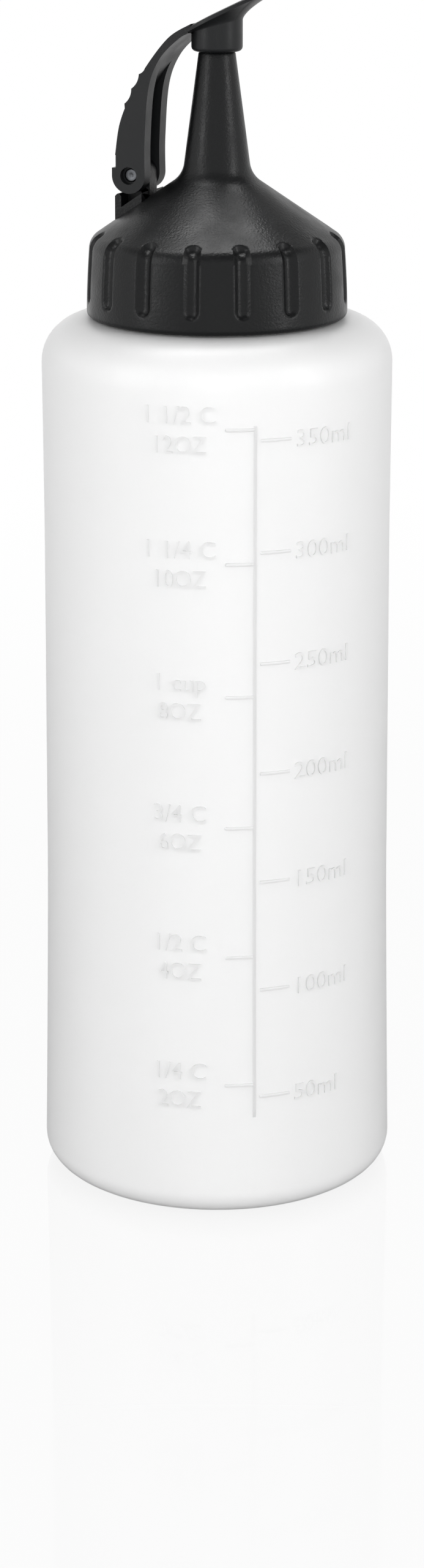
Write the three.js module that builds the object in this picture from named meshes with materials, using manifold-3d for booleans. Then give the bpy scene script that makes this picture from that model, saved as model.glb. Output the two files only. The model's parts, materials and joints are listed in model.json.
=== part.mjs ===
// Squeeze dosing bottle with a screw cap, a tapered spout and a flip-up lever that closes the spout.
// Millimetres, +Z up. The origin is the centre of the foot on the table, and the lever's hinge is on the -X side.
import * as THREE from "three";
import { mergeVertices } from "three/addons/utils/BufferGeometryUtils.js";
import Module from "manifold-3d";

const wasm = await Module();
wasm.setup();

// Clearances
const restGap = 0.3; // between neighbours that touch on the real object
const pinFit = 0.1; // radial, pin in the bracket's ear
const pinRunning = 0.15; // radial, lever's side plates on the pin

// Bottle body
const footRadius = 30.5;
const waistRadius = 29.85;
const shoulderRadius = 30.1;
const footRound = 4.5;
const shoulderRound = 7.5;
const waistStart = 55;
const waistEnd = 112;
const bodyHeight = 151.2; // top of the shoulder, where the neck starts
const bodyWall = 1.0;
const footRingWidth = 3.6; // flat ring that the bottle stands on
const pushUp = 2.5; // depth of the hollow under the base

// Bottle neck
const neckRadius = 19.2;
const neckWall = 1.3;
const neckHeight = 11.1;
const neckEdge = 0.4;

// Thread, on the neck and in the cap
const threadLead = 4.2;
const threadHeight = 1.0;
const threadRootWidth = 1.9;
const threadCrestWidth = 0.9;
const neckThreadTurns = 1.25;
const capThreadTurns = 1.0;
const threadStart = 3.4; // middle of the neck thread's lower end, above the shoulder
const threadRunOut = 0.5; // radians over which an end fades out
const capThreadLag = 0.5; // radians from the neck thread's start to the cap thread's start

// Measuring scale, raised on the wall; angles are from +X in degrees
const barWidth = 0.5;
const barHeight = 0.3;
const scaleLineAngle = -55.4;
const scaleLineStart = 18;
const scaleTopMargin = 5.7; // plain wall between the scale and the shoulder
const ounceTick = { first: 23.9, step: 22.7, count: 6, from: -64.9, to: -55.8 };
const millilitreTick = { first: 21.7, step: 18.97, count: 7, from: -53.6, to: -43.4 };

// Cap
const capLift = 0.3; // gap between the shoulder and the skirt's lower edge
const skirtFootRadius = 22.3;
const skirtTopRadius = 21.85;
const skirtHeight = 11.55; // lower edge to the start of the cap's shoulder
const skirtEdge = 0.9;
const skirtLeadIn = 0.5;
const skirtBore = 20.4;
const capShoulderRound = 3.0;
const coneAngle = THREE.MathUtils.degToRad(34.5);
const capWall = 1.6;
const gasketThickness = 1.0;
const landInnerRadius = 16.0; // inner edge of the land that the gasket seals on

// Spout
const spoutFootRadius = 5.87; // where the spout's line meets the cone's line
const spoutTipRadius = 3.1;
const spoutHeight = 21.0; // from that meeting point to the tip's chamfer
const spoutFillet = 4.5;
const tipChamferHeight = 1.1;
const tipTopRadius = 1.5;
const orificeRadius = 0.9;
const orificeLength = 1.6;

// Grip flutes in the skirt
const fluteCount = 16;
const fluteRadius = 1.5;
const fluteDepth = 0.9;
const fluteBottom = 2.5; // above the skirt's lower edge
const fluteSweep = THREE.MathUtils.degToRad(56); // how far a flute follows the cap's shoulder

// Hinge
const pinOffset = 14.53; // from the bottle's axis
const pinAboveCone = 5.5;
const pinRadius = 1.05;
const pinLength = 6.6;
const pinDimple = 0.2;
const earThickness = 3.2;
const earRadius = 2.7;
const postWidth = 9.4;
const postThickness = 1.2;
const postOffset = 2.44; // post's outer face beyond the pin's axis
const postTopBelowPin = 3.1;
const postChamfer = 0.4;
const padRise = 1.0;
const padLength = 5.0;

// Lever
const leverWidth = 9.0;
const leverEndRadius = 3.05;
const heelHeight = 1.3;
const heelSetback = 0.7;
const windowTop = 3.5; // web's lower end, above the pin
const webThickness = 1.3;
const counterboreRadius = 1.5;
const gripTeeth = 3;
const gripPitch = 2.87;
const gripHeight = 0.38;
const gripStart = 9.0; // along the outer edge, from the web's lower end
const cupRadius = 4.35;
const cupBore = 3.5;
const cupEdge = 0.8;
const sealThickness = 1.2;
const leafAngle = THREE.MathUtils.degToRad(26.3);
const leafCrownHeight = 6.2; // leaf's top face above the cup's lower edge, on the axis
const leafRim = 0.9; // leaf's rim, from the crown down to its lower edge
const leafBackLength = 4.7;
const leafFrontLength = 11.3;
const leafHalfWidth = 5.4;
const leafTipHalfWidth = 3.2;
const flareLow = 3.0; // where the flare leaves the cup's wall, above its lower edge, on the arm's side
const flareCurve = 1.5; // 1 is a straight flare, more is hollower
const flareRise = 2.4; // how much higher it leaves on the other side

// How finely round shapes are divided
const roundSegments = 48;
const smallSegments = 24;
const fluteSides = 8;

// Heights and places that follow from the sizes above
const neckBore = neckRadius - neckWall;
const rimHeight = bodyHeight + neckHeight;
const skirtBottom = bodyHeight + capLift;
const landHeight = rimHeight + restGap + gasketThickness + restGap;
const capShoulderBase = skirtBottom + skirtHeight;
const coneSlope = Math.tan(coneAngle);
const shoulderTangent = Math.PI / 2 - coneAngle;
const coneTopRadius = skirtTopRadius - capShoulderRound + capShoulderRound * Math.cos(shoulderTangent);
const coneTopHeight = capShoulderBase + capShoulderRound * Math.sin(shoulderTangent);
const spoutFootHeight = coneHeightAt(spoutFootRadius);
const tipShoulderHeight = spoutFootHeight + spoutHeight;
const tipTopHeight = tipShoulderHeight + tipChamferHeight;
const pinX = -pinOffset;
const pinZ = coneHeightAt(pinOffset) + pinAboveCone;
const slotWidth = earThickness + 2 * restGap;
const cupBottom = tipShoulderHeight;
const cupCeiling = tipTopHeight + restGap + sealThickness + restGap;
const leafTopHeight = cupBottom + leafCrownHeight;

// Height of the cap's outer cone at a distance from the axis.
function coneHeightAt(radius) {
  return coneTopHeight + (coneTopRadius - radius) * coneSlope;
}

// Outer radius of the bottle's wall at a height between the foot's round and the shoulder's.
function wallRadiusAt(height) {
  if (height < waistStart) {
    const share = (waistStart - height) / (waistStart - footRound);
    return waistRadius + (footRadius - waistRadius) * Math.pow(share, 1.3);
  }
  if (height > waistEnd) {
    const share = (height - waistEnd) / (bodyHeight - shoulderRound - waistEnd);
    return waistRadius + (shoulderRadius - waistRadius) * Math.pow(share, 1.3);
  }
  return waistRadius;
}

// Points of an arc about (x, y), both ends included.
function arc(x, y, radius, from, to, steps) {
  const points = [];
  for (let i = 0; i <= steps; i++) {
    const angle = from + ((to - from) * i) / steps;
    points.push(new THREE.Vector2(x + radius * Math.cos(angle), y + radius * Math.sin(angle)));
  }
  return points;
}

// A geometry as a solid that can be joined and cut.
function solid(geometry) {
  const bare = geometry.clone();
  bare.deleteAttribute("normal");
  bare.deleteAttribute("uv");
  const merged = mergeVertices(bare, 1e-4);
  const corners = merged.index.array;
  const triangles = [];
  for (let i = 0; i < corners.length; i += 3) {
    const [a, b, c] = [corners[i], corners[i + 1], corners[i + 2]];
    if (a !== b && b !== c && c !== a) triangles.push(a, b, c);
  }
  return new wasm.Manifold(
    new wasm.Mesh({
      numProp: 3,
      vertProperties: merged.getAttribute("position").array,
      triVerts: new Uint32Array(triangles),
    }),
  );
}

// A named mesh made from a solid.
function meshOf(name, body, material) {
  const made = body.getMesh();
  const geometry = new THREE.BufferGeometry();
  geometry.setAttribute("position", new THREE.BufferAttribute(new Float32Array(made.vertProperties), 3));
  geometry.setIndex(new THREE.BufferAttribute(new Uint32Array(made.triVerts), 1));
  geometry.computeVertexNormals();
  const mesh = new THREE.Mesh(geometry, material);
  mesh.name = name;
  return mesh;
}

// A profile of (radius, height) points turned about the Z axis. The points run anticlockwise round the section.
function turned(points, segments = roundSegments) {
  const geometry = new THREE.LatheGeometry(points, segments);
  geometry.rotateX(Math.PI / 2);
  return solid(geometry);
}

// An outline in the XZ plane, extruded to a width that is centred on the plane Y = 0.
function plate(points, width) {
  const geometry = new THREE.ExtrudeGeometry(new THREE.Shape(points), { depth: width, bevelEnabled: false });
  geometry.translate(0, 0, -width / 2);
  geometry.rotateX(Math.PI / 2);
  return solid(geometry);
}

// A round bar along Y through (x, z), with flats outside the given radius when it is a hole.
function crossBar(x, z, radius, length, isHole = false) {
  const drawn = isHole ? radius / Math.cos(Math.PI / smallSegments) : radius;
  const geometry = new THREE.CylinderGeometry(drawn, drawn, length, smallSegments);
  geometry.translate(x, 0, z);
  return solid(geometry);
}

// A helical ridge about the Z axis, with both ends fading into its wall.
function threadRidge(wallRadius, crestRadius, turns, startAngle, startHeight) {
  const sunk = wallRadius - Math.sign(crestRadius - wallRadius) * restGap;
  const section = new THREE.Shape([
    new THREE.Vector2(Math.min(sunk, crestRadius), (sunk < crestRadius ? -threadRootWidth : -threadCrestWidth) / 2),
    new THREE.Vector2(Math.max(sunk, crestRadius), (sunk < crestRadius ? -threadCrestWidth : -threadRootWidth) / 2),
    new THREE.Vector2(Math.max(sunk, crestRadius), (sunk < crestRadius ? threadCrestWidth : threadRootWidth) / 2),
    new THREE.Vector2(Math.min(sunk, crestRadius), (sunk < crestRadius ? threadRootWidth : threadCrestWidth) / 2),
  ]);
  const sweep = turns * 2 * Math.PI;
  const steps = Math.round(turns * 32);
  const geometry = new THREE.ExtrudeGeometry(section, { depth: sweep, steps, bevelEnabled: false });
  const position = geometry.getAttribute("position");
  for (let i = 0; i < position.count; i++) {
    const along = position.getZ(i);
    const angle = startAngle + along;
    const fade = Math.min(1, along / threadRunOut, (sweep - along) / threadRunOut);
    const radius = sunk + (position.getX(i) - sunk) * Math.max(0.1, fade);
    const height = startHeight + (threadLead * along) / (2 * Math.PI) - position.getY(i);
    position.setXYZ(i, radius * Math.cos(angle), radius * Math.sin(angle), height);
  }
  return solid(geometry);
}

// A bar raised on the bottle's wall, between two angles in degrees and two heights.
function raisedBar(fromAngle, toAngle, low, high) {
  const sunk = bodyWall / 2;
  const depth = barHeight + sunk;
  const from = THREE.MathUtils.degToRad(fromAngle);
  const to = THREE.MathUtils.degToRad(toAngle);
  const angleSteps = Math.max(1, Math.round(((to - from) * roundSegments) / (2 * Math.PI)));
  const heightSteps = Math.max(1, Math.round((high - low) / 20));
  const geometry = new THREE.BoxGeometry(to - from, high - low, depth, angleSteps, heightSteps, 1);
  const position = geometry.getAttribute("position");
  for (let i = 0; i < position.count; i++) {
    const angle = (from + to) / 2 + position.getX(i);
    const height = (low + high) / 2 + position.getY(i);
    const radius = wallRadiusAt(height) + position.getZ(i) + depth / 2 - sunk;
    position.setXYZ(i, radius * Math.cos(angle), radius * Math.sin(angle), height);
  }
  return solid(geometry);
}

// One row of scale marks, as far as the upright line goes.
function scaleTicks(row, lineEnd) {
  const ticks = [];
  for (let i = 0; i < row.count; i++) {
    const middle = row.first + i * row.step;
    if (middle + barWidth / 2 < lineEnd) {
      ticks.push(raisedBar(row.from, row.to, middle - barWidth / 2, middle + barWidth / 2));
    }
  }
  return ticks;
}

// Section of the bottle's wall on one side, from the foot's flat ring to the neck's root, at a depth under the surface.
function wallProfile(depth) {
  const points = arc(footRadius - footRound, footRound, footRound - depth, -Math.PI / 2, 0, 4);
  const lowSteps = 4;
  for (let i = 1; i <= lowSteps; i++) {
    const height = footRound + ((waistStart - footRound) * i) / lowSteps;
    points.push(new THREE.Vector2(wallRadiusAt(height) - depth, height));
  }
  const shoulderBase = bodyHeight - shoulderRound;
  const highSteps = 3;
  for (let i = 0; i < highSteps; i++) {
    const height = waistEnd + ((shoulderBase - waistEnd) * i) / highSteps;
    points.push(new THREE.Vector2(wallRadiusAt(height) - depth, height));
  }
  points.push(...arc(shoulderRadius - shoulderRound, shoulderBase, shoulderRound - depth, 0, Math.PI / 2, 5));
  return points;
}

// Section of the base's hollow, from the axis out to the flat ring, at a height above the outer surface.
function baseProfile(rise) {
  const ringInner = footRadius - footRound - footRingWidth;
  const steps = 4;
  const points = [];
  for (let i = 0; i <= steps; i++) {
    const share = i / steps;
    points.push(new THREE.Vector2(ringInner * share, rise + pushUp * (1 - share * share)));
  }
  return points;
}

function makeBottle() {
  const profile = [
    ...baseProfile(0),
    ...wallProfile(0),
    new THREE.Vector2(neckRadius, bodyHeight),
    new THREE.Vector2(neckRadius, rimHeight - neckEdge),
    new THREE.Vector2(neckRadius - neckEdge, rimHeight),
    new THREE.Vector2(neckBore + neckEdge, rimHeight),
    new THREE.Vector2(neckBore, rimHeight - neckEdge),
    new THREE.Vector2(neckBore, bodyHeight - bodyWall),
    ...wallProfile(bodyWall).reverse(),
    ...baseProfile(bodyWall).reverse(),
  ];
  const halfLine = THREE.MathUtils.radToDeg(barWidth / 2 / waistRadius);
  const lineEnd = bodyHeight - shoulderRound - scaleTopMargin;
  const marks = [
    raisedBar(scaleLineAngle - halfLine, scaleLineAngle + halfLine, scaleLineStart, lineEnd),
    ...scaleTicks(ounceTick, lineEnd),
    ...scaleTicks(millilitreTick, lineEnd),
  ];
  const thread = threadRidge(neckRadius, neckRadius + threadHeight, neckThreadTurns, 0, bodyHeight + threadStart);
  return marks.reduce((body, mark) => body.add(mark), turned(profile)).add(thread);
}

function makeGasket() {
  const low = rimHeight + restGap;
  const outer = skirtBore - restGap;
  const inner = landInnerRadius + restGap;
  return turned([
    new THREE.Vector2(inner, low),
    new THREE.Vector2(outer, low),
    new THREE.Vector2(outer, low + gasketThickness),
    new THREE.Vector2(inner, low + gasketThickness),
    new THREE.Vector2(inner, low),
  ]);
}

// Outer surface of the skirt, from the lower edge's round to the cap's shoulder, moved outwards by a distance.
function skirtProfile(outwards, from, steps) {
  const start = skirtBottom + from;
  const low = skirtBottom + skirtEdge;
  const points = [];
  for (let i = 0; i <= steps; i++) {
    const height = start + ((capShoulderBase - start) * i) / steps;
    const share = (height - low) / (capShoulderBase - low);
    const radius = skirtFootRadius - (skirtFootRadius - skirtTopRadius) * Math.pow(share, 1.7);
    points.push(new THREE.Vector2(radius + outwards, height));
  }
  return points;
}

// The spout's outer surface and bore: a fillet from the cone, then a straight taper, at a depth under the surface.
function spoutProfile(depth, topHeight) {
  const taper = Math.atan2(spoutFootRadius - spoutTipRadius, spoutHeight);
  const turn = Math.PI / 2 - coneAngle - taper;
  const radius = spoutFillet + depth;
  const reach = spoutFillet * Math.tan(turn / 2);
  const centre = new THREE.Vector2(
    spoutFootRadius + reach * Math.cos(coneAngle) + spoutFillet * Math.sin(coneAngle),
    spoutFootHeight - reach * Math.sin(coneAngle) + spoutFillet * Math.cos(coneAngle),
  );
  const points = arc(centre.x, centre.y, radius, -Math.PI / 2 - coneAngle, -Math.PI + taper, 5);
  const last = points[points.length - 1];
  points.push(new THREE.Vector2(last.x - (topHeight - last.y) * Math.tan(taper), topHeight));
  return points;
}

// One grip flute: a round-ended cutter that runs up the skirt and over the cap's shoulder.
function fluteCutter() {
  const outwards = fluteRadius - fluteDepth;
  const straight = skirtProfile(outwards, fluteBottom + fluteRadius, 1);
  const bend = arc(skirtTopRadius - capShoulderRound, capShoulderBase, capShoulderRound + outwards, 0, fluteSweep, 3);
  const places = [...straight, ...bend.slice(1)];
  const last = places.length - 1;
  const directions = places.map((place, i) => {
    const ahead = places[Math.min(i + 1, last)];
    const behind = places[Math.max(i - 1, 0)];
    return ahead.clone().sub(behind).normalize();
  });
  const ringAt = (place, direction, shift, radius) => {
    const ring = [];
    for (let i = 0; i < fluteSides; i++) {
      const angle = (i * 2 * Math.PI) / fluteSides;
      const sideways = radius * Math.cos(angle);
      const x = place.x + direction.x * shift + direction.y * sideways;
      const z = place.y + direction.y * shift - direction.x * sideways;
      ring.push(new THREE.Vector3(x, radius * Math.sin(angle), z));
    }
    return ring;
  };
  const roundEnd = [Math.PI / 6, Math.PI / 3].map((angle) => ({
    shift: fluteRadius * Math.cos(angle),
    radius: fluteRadius * Math.sin(angle),
  }));
  return loft([
    ...roundEnd.map((end) => ringAt(places[0], directions[0], -end.shift, end.radius)),
    ...places.map((place, i) => ringAt(place, directions[i], 0, fluteRadius)),
    ...roundEnd.reverse().map((end) => ringAt(places[last], directions[last], end.shift, end.radius)),
  ]);
}

// The hinge bracket: a back post, an ear round the pin and a sloping pad that joins them to the cone.
function makeBracket() {
  const postOuter = pinX - postOffset;
  const postInner = postOuter + postThickness;
  const postTop = pinZ - postTopBelowPin;
  const sunk = capWall / Math.cos(coneAngle) - 0.6 * capWall;
  const padTop = (x) => coneHeightAt(-x) + padRise;
  const padBottom = (x) => coneHeightAt(-x) - sunk;
  const padEnd = postOuter + padLength;
  const post = plate(
    [
      new THREE.Vector2(postOuter, padBottom(postOuter)),
      new THREE.Vector2(postInner, padBottom(postInner)),
      new THREE.Vector2(postInner, postTop - postChamfer),
      new THREE.Vector2(postInner - postChamfer, postTop),
      new THREE.Vector2(postOuter + postChamfer, postTop),
      new THREE.Vector2(postOuter, postTop - postChamfer),
    ],
    postWidth,
  );
  const pad = plate(
    [
      new THREE.Vector2(postOuter, padBottom(postOuter)),
      new THREE.Vector2(padEnd, padBottom(padEnd)),
      new THREE.Vector2(padEnd, padTop(padEnd)),
      new THREE.Vector2(postOuter, padTop(postOuter)),
    ],
    postWidth,
  );
  const ear = plate(
    [
      new THREE.Vector2(postInner - postThickness / 2, padBottom(postInner)),
      new THREE.Vector2(pinX + earRadius, padBottom(pinX + earRadius)),
      ...arc(pinX, pinZ, earRadius, 0, Math.PI * 1.1, 10),
    ],
    earThickness,
  );
  return post.add(pad).add(ear);
}

function makeCap() {
  const innerConeHeight = (radius) => coneHeightAt(radius) - capWall / Math.cos(coneAngle);
  const bore = spoutProfile(capWall, tipTopHeight - orificeLength - capWall);
  const profile = [
    new THREE.Vector2(skirtBore + skirtLeadIn, skirtBottom),
    ...arc(skirtFootRadius - skirtEdge, skirtBottom + skirtEdge, skirtEdge, -Math.PI / 2, 0, 3),
    ...skirtProfile(0, skirtEdge, 4).slice(1),
    ...arc(skirtTopRadius - capShoulderRound, capShoulderBase, capShoulderRound, 0, shoulderTangent, 5).slice(1),
    ...spoutProfile(0, tipShoulderHeight),
    new THREE.Vector2(tipTopRadius, tipTopHeight),
    new THREE.Vector2(orificeRadius, tipTopHeight),
    new THREE.Vector2(orificeRadius, tipTopHeight - orificeLength),
    ...bore.reverse(),
    new THREE.Vector2(landInnerRadius, innerConeHeight(landInnerRadius)),
    new THREE.Vector2(landInnerRadius, landHeight),
    new THREE.Vector2(skirtBore, landHeight),
    new THREE.Vector2(skirtBore, skirtBottom + skirtLeadIn),
    new THREE.Vector2(skirtBore + skirtLeadIn, skirtBottom),
  ];
  const flankReach = (threadRootWidth + threadCrestWidth) / 2;
  const threadHeightAtStart = bodyHeight + threadStart - flankReach - restGap / 2;
  const thread = threadRidge(
    skirtBore,
    skirtBore - threadHeight,
    capThreadTurns,
    capThreadLag,
    threadHeightAtStart + (threadLead * capThreadLag) / (2 * Math.PI),
  );
  const cutter = fluteCutter();
  let cap = turned(profile).add(thread).add(makeBracket());
  for (let i = 0; i < fluteCount; i++) {
    cap = cap.subtract(cutter.rotate([0, 0, (360 / fluteCount) * (i + 0.5)]));
  }
  return cap.subtract(crossBar(pinX, pinZ, pinRadius + pinFit, earThickness + 2 * restGap, true));
}

function makePin() {
  const half = pinLength / 2;
  const section = [
    new THREE.Vector2(0, -half + pinDimple),
    new THREE.Vector2(pinRadius / 2, -half),
    new THREE.Vector2(pinRadius, -half),
    new THREE.Vector2(pinRadius, half),
    new THREE.Vector2(pinRadius / 2, half),
    new THREE.Vector2(0, half - pinDimple),
  ];
  return turned(section, smallSegments).rotate([90, 0, 0]).translate([pinX, 0, pinZ]);
}

// A place on the lever: shares of the way from the pin across to the spout's axis and up to the cup's lower edge.
function armPlace(across, up) {
  return new THREE.Vector2(pinX * (1 - across), pinZ + (cupBottom - pinZ) * up);
}

// The arm's outer edge without its grip teeth, from the web's lower end to the leaf.
function outerEdge() {
  const start = new THREE.Vector2(pinX - postOffset, pinZ + windowTop);
  return new THREE.SplineCurve([
    start,
    armPlace(-0.107, 0.416),
    armPlace(0.04, 0.654),
    armPlace(0.235, 0.879),
    armPlace(0.519, 1.112),
    armPlace(0.798, 1.224),
  ]);
}

// Outward direction of an edge curve that runs from the hinge up to the leaf.
function outwardAt(curve, share) {
  const tangent = curve.getTangentAt(share);
  return new THREE.Vector2(-tangent.y, tangent.x);
}

// The outer edge with its grip teeth: sharp tips, with a scoop between each two.
function toothedEdge() {
  const edge = outerEdge();
  const length = edge.getLength();
  const tips = [];
  for (let i = 0; i < gripTeeth; i++) {
    const share = (gripStart + i * gripPitch) / length;
    tips.push(edge.getPointAt(share).addScaledVector(outwardAt(edge, share), gripHeight));
  }
  tips.push(edge.getPointAt((gripStart + gripTeeth * gripPitch - gripPitch / 2) / length));
  const points = [];
  const plainSteps = 4;
  for (let i = 0; i <= plainSteps; i++) {
    points.push(edge.getPointAt((((gripStart - gripPitch / 4) / length) * i) / plainSteps));
  }
  for (let i = 0; i < gripTeeth; i++) {
    const reach = i < gripTeeth - 1 ? gripPitch / 2 : gripPitch / 4;
    const floor = edge.getPointAt((gripStart + i * gripPitch + reach) / length);
    const control = floor.multiplyScalar(2).sub(tips[i].clone().add(tips[i + 1]).multiplyScalar(0.5));
    points.push(...new THREE.QuadraticBezierCurve(tips[i], control, tips[i + 1]).getPoints(4).slice(0, -1));
  }
  const upperSteps = 6;
  const upperStart = (gripStart + gripTeeth * gripPitch - gripPitch / 2) / length;
  for (let i = 0; i <= upperSteps; i++) {
    points.push(edge.getPointAt(upperStart + ((1 - upperStart) * i) / upperSteps));
  }
  return points;
}

// The arm's inner edge, from the cup down to the round end.
function innerEdge() {
  return new THREE.SplineCurve([
    armPlace(0.763, 1.15),
    armPlace(0.634, 1.098),
    armPlace(0.403, 0.939),
    armPlace(0.261, 0.701),
    new THREE.Vector2(pinX + leverEndRadius, armPlace(0, 0.28).y),
    new THREE.Vector2(pinX + leverEndRadius, pinZ),
  ]);
}

// A closed ring of points lofted to the next ones, with flat fans over both ends.
function loft(rings) {
  const count = rings[0].length;
  const corners = rings.flat();
  const centres = [rings[0], rings[rings.length - 1]].map((ring) =>
    ring.reduce((sum, point) => sum.add(point), new THREE.Vector3()).divideScalar(count),
  );
  const triangles = [];
  for (let i = 0; i < count; i++) {
    const next = (i + 1) % count;
    for (let ring = 0; ring < rings.length - 1; ring++) {
      const [a, b, c, d] = [i, next, next + count, i + count].map((k) => corners[ring * count + k]);
      triangles.push(a, b, c, a, c, d);
    }
    const top = (rings.length - 1) * count;
    triangles.push(corners[next], corners[i], centres[0]);
    triangles.push(corners[top + i], corners[top + next], centres[1]);
  }
  return solid(new THREE.BufferGeometry().setFromPoints(triangles));
}

// A point on or under the leaf's top face: along its slope, across it and below it.
function leafPlace(along, across, below) {
  const x = along * Math.cos(leafAngle) + below * Math.sin(leafAngle);
  const z = leafTopHeight + along * Math.sin(leafAngle) - below * Math.cos(leafAngle);
  return new THREE.Vector3(x, across, z);
}

// The leaf's outline seen square on to it, pulled in by a margin, as (along, across) points.
function leafOutline(margin) {
  const back = -leafBackLength;
  const front = leafFrontLength - margin;
  const half = new THREE.SplineCurve([
    new THREE.Vector2(back, leverWidth / 2 - margin),
    new THREE.Vector2(0, leafHalfWidth - margin),
    new THREE.Vector2(leafFrontLength * 0.5, (leafHalfWidth + leafTipHalfWidth) / 2 + 0.3 - margin),
    new THREE.Vector2(leafFrontLength - leafTipHalfWidth, leafTipHalfWidth - margin),
  ]).getPoints(8);
  const tip = leafFrontLength - leafTipHalfWidth;
  const round = arc(0, 0, 1, Math.PI / 2, 0, 4).slice(1);
  const nose = round.map((p) => new THREE.Vector2(tip + p.x * (front - tip), p.y * (leafTipHalfWidth - margin)));
  const side = [...half, ...nose];
  const other = side.slice(0, -1).reverse();
  return [...side, ...other.map((p) => new THREE.Vector2(p.x, -p.y))];
}

// The thumb leaf with the flare under it, which opens from the cup's wall to the leaf's rim.
function makeLeaf() {
  const rim = leafOutline(0);
  const lowerRim = rim.map((p) => leafPlace(p.x, p.y, leafRim));
  const root = rim.map((p) => {
    const angle = Math.atan2(p.y, p.x);
    const height = cupBottom + flareLow + (flareRise * (1 + Math.cos(angle))) / 2;
    return new THREE.Vector3(cupRadius * Math.cos(angle), cupRadius * Math.sin(angle), height);
  });
  const stem = root.map((p) => new THREE.Vector3(p.x, p.y, cupBottom + flareLow - cupEdge));
  const flare = [0, 0.3, 0.65, 1].map((share) =>
    root.map((low, i) => {
      const place = low.clone().lerp(lowerRim[i], Math.pow(share, flareCurve));
      place.z = low.z + (lowerRim[i].z - low.z) * share;
      return place;
    }),
  );
  const crown = [
    { margin: 0, below: leafRim * 0.55 },
    { margin: 1.2, below: leafRim * 0.15 },
    { margin: 2.4, below: 0 },
  ];
  const top = crown.map((layer) => leafOutline(layer.margin).map((p) => leafPlace(p.x, p.y, layer.below)));
  return loft([stem, ...flare, ...top].map((ring) => ring.reverse()));
}

// The cup that covers the spout's tip.
function makeCup() {
  return turned(
    [
      new THREE.Vector2(0, cupBottom),
      ...arc(cupRadius - cupEdge, cupBottom + cupEdge, cupEdge, -Math.PI / 2, 0, 3),
      new THREE.Vector2(cupRadius, cupBottom + flareLow),
      new THREE.Vector2(0, cupCeiling + restGap),
    ],
    smallSegments,
  );
}

function makeLever() {
  const end = arc(pinX, pinZ, leverEndRadius, 0, -Math.PI, 12);
  const heelX = pinX - leverEndRadius;
  const outline = [
    ...innerEdge().getPoints(14).slice(0, -1),
    ...end,
    new THREE.Vector2(heelX, pinZ + heelHeight),
    new THREE.Vector2(heelX + heelSetback, pinZ + heelHeight),
    new THREE.Vector2(heelX + heelSetback, pinZ + windowTop),
    ...toothedEdge(),
  ];
  const edge = outerEdge();
  const slotSide = [];
  const slotSteps = 9;
  const slotEnd = 0.86;
  for (let i = 0; i <= slotSteps; i++) {
    const share = (slotEnd * i) / slotSteps;
    slotSide.push(edge.getPointAt(share).addScaledVector(outwardAt(edge, share), -webThickness));
  }
  const clearLeft = pinX - 2 * leverEndRadius;
  const clearRight = -cupRadius - restGap;
  const clearBottom = pinZ - 2 * leverEndRadius;
  const slot = plate(
    [
      new THREE.Vector2(clearLeft, clearBottom),
      new THREE.Vector2(clearLeft, pinZ + windowTop),
      ...slotSide,
      new THREE.Vector2(clearRight, slotSide[slotSteps].y - restGap),
      new THREE.Vector2(clearRight, clearBottom),
    ].reverse(),
    slotWidth,
  );
  const headed = plate(outline.reverse(), leverWidth).add(makeCup()).add(makeLeaf());
  const seat = turned(
    [
      new THREE.Vector2(0, cupBottom - cupEdge),
      new THREE.Vector2(cupBore, cupBottom - cupEdge),
      new THREE.Vector2(cupBore, cupCeiling),
      new THREE.Vector2(0, cupCeiling),
    ],
    smallSegments,
  );
  const recessDepth = (leverWidth - pinLength) / 2;
  const recess = crossBar(pinX, pinZ, counterboreRadius, recessDepth * 2, true);
  return headed
    .subtract(slot)
    .subtract(seat)
    .subtract(crossBar(pinX, pinZ, pinRadius + pinRunning, leverWidth * 2, true))
    .subtract(recess.translate([0, leverWidth / 2, 0]))
    .subtract(recess.translate([0, -leverWidth / 2, 0]));
}

function makeTipSeal() {
  const low = tipTopHeight + restGap;
  const radius = cupBore - restGap;
  return turned(
    [
      new THREE.Vector2(0, low),
      new THREE.Vector2(radius, low),
      new THREE.Vector2(radius, low + sealThickness),
      new THREE.Vector2(0, low + sealThickness),
    ],
    smallSegments,
  );
}

const milkyPolyethylene = new THREE.MeshStandardMaterial({ color: 0xeff1f0, roughness: 0.45, metalness: 0 });
const blackPolypropylene = new THREE.MeshStandardMaterial({ color: 0x2e2f31, roughness: 0.6, metalness: 0 });
const leverPolypropylene = new THREE.MeshStandardMaterial({ color: 0x333436, roughness: 0.6, metalness: 0 });
const gasketSilicone = new THREE.MeshStandardMaterial({ color: 0xd9dad6, roughness: 0.7, metalness: 0 });
const sealSilicone = new THREE.MeshStandardMaterial({ color: 0xcfd0cc, roughness: 0.7, metalness: 0 });
const pinSteel = new THREE.MeshStandardMaterial({ color: 0xa9abad, roughness: 0.35, metalness: 1 });

const dosingBottle = new THREE.Group();
dosingBottle.add(meshOf("bottle", makeBottle(), milkyPolyethylene));
dosingBottle.add(meshOf("neck_gasket", makeGasket(), gasketSilicone));
dosingBottle.add(meshOf("screw_cap", makeCap(), blackPolypropylene));
dosingBottle.add(meshOf("hinge_pin", makePin(), pinSteel));
dosingBottle.add(meshOf("lever", makeLever(), leverPolypropylene));
dosingBottle.add(meshOf("tip_seal", makeTipSeal(), sealSilicone));

export default dosingBottle;
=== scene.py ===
"""Looks of a squeeze dosing bottle: milky bottle, black screw cap with a spout, and a flip-up lever.

Sizes are in millimetres in the bottle's own frame, +Z up, with the origin at the centre of its foot.
They turn into metres only where a mesh is made. The lever's hinge is on the -X side.
"""
import json
import logging
import math
from dataclasses import dataclass, field
from enum import Enum
from typing import Sequence

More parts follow.
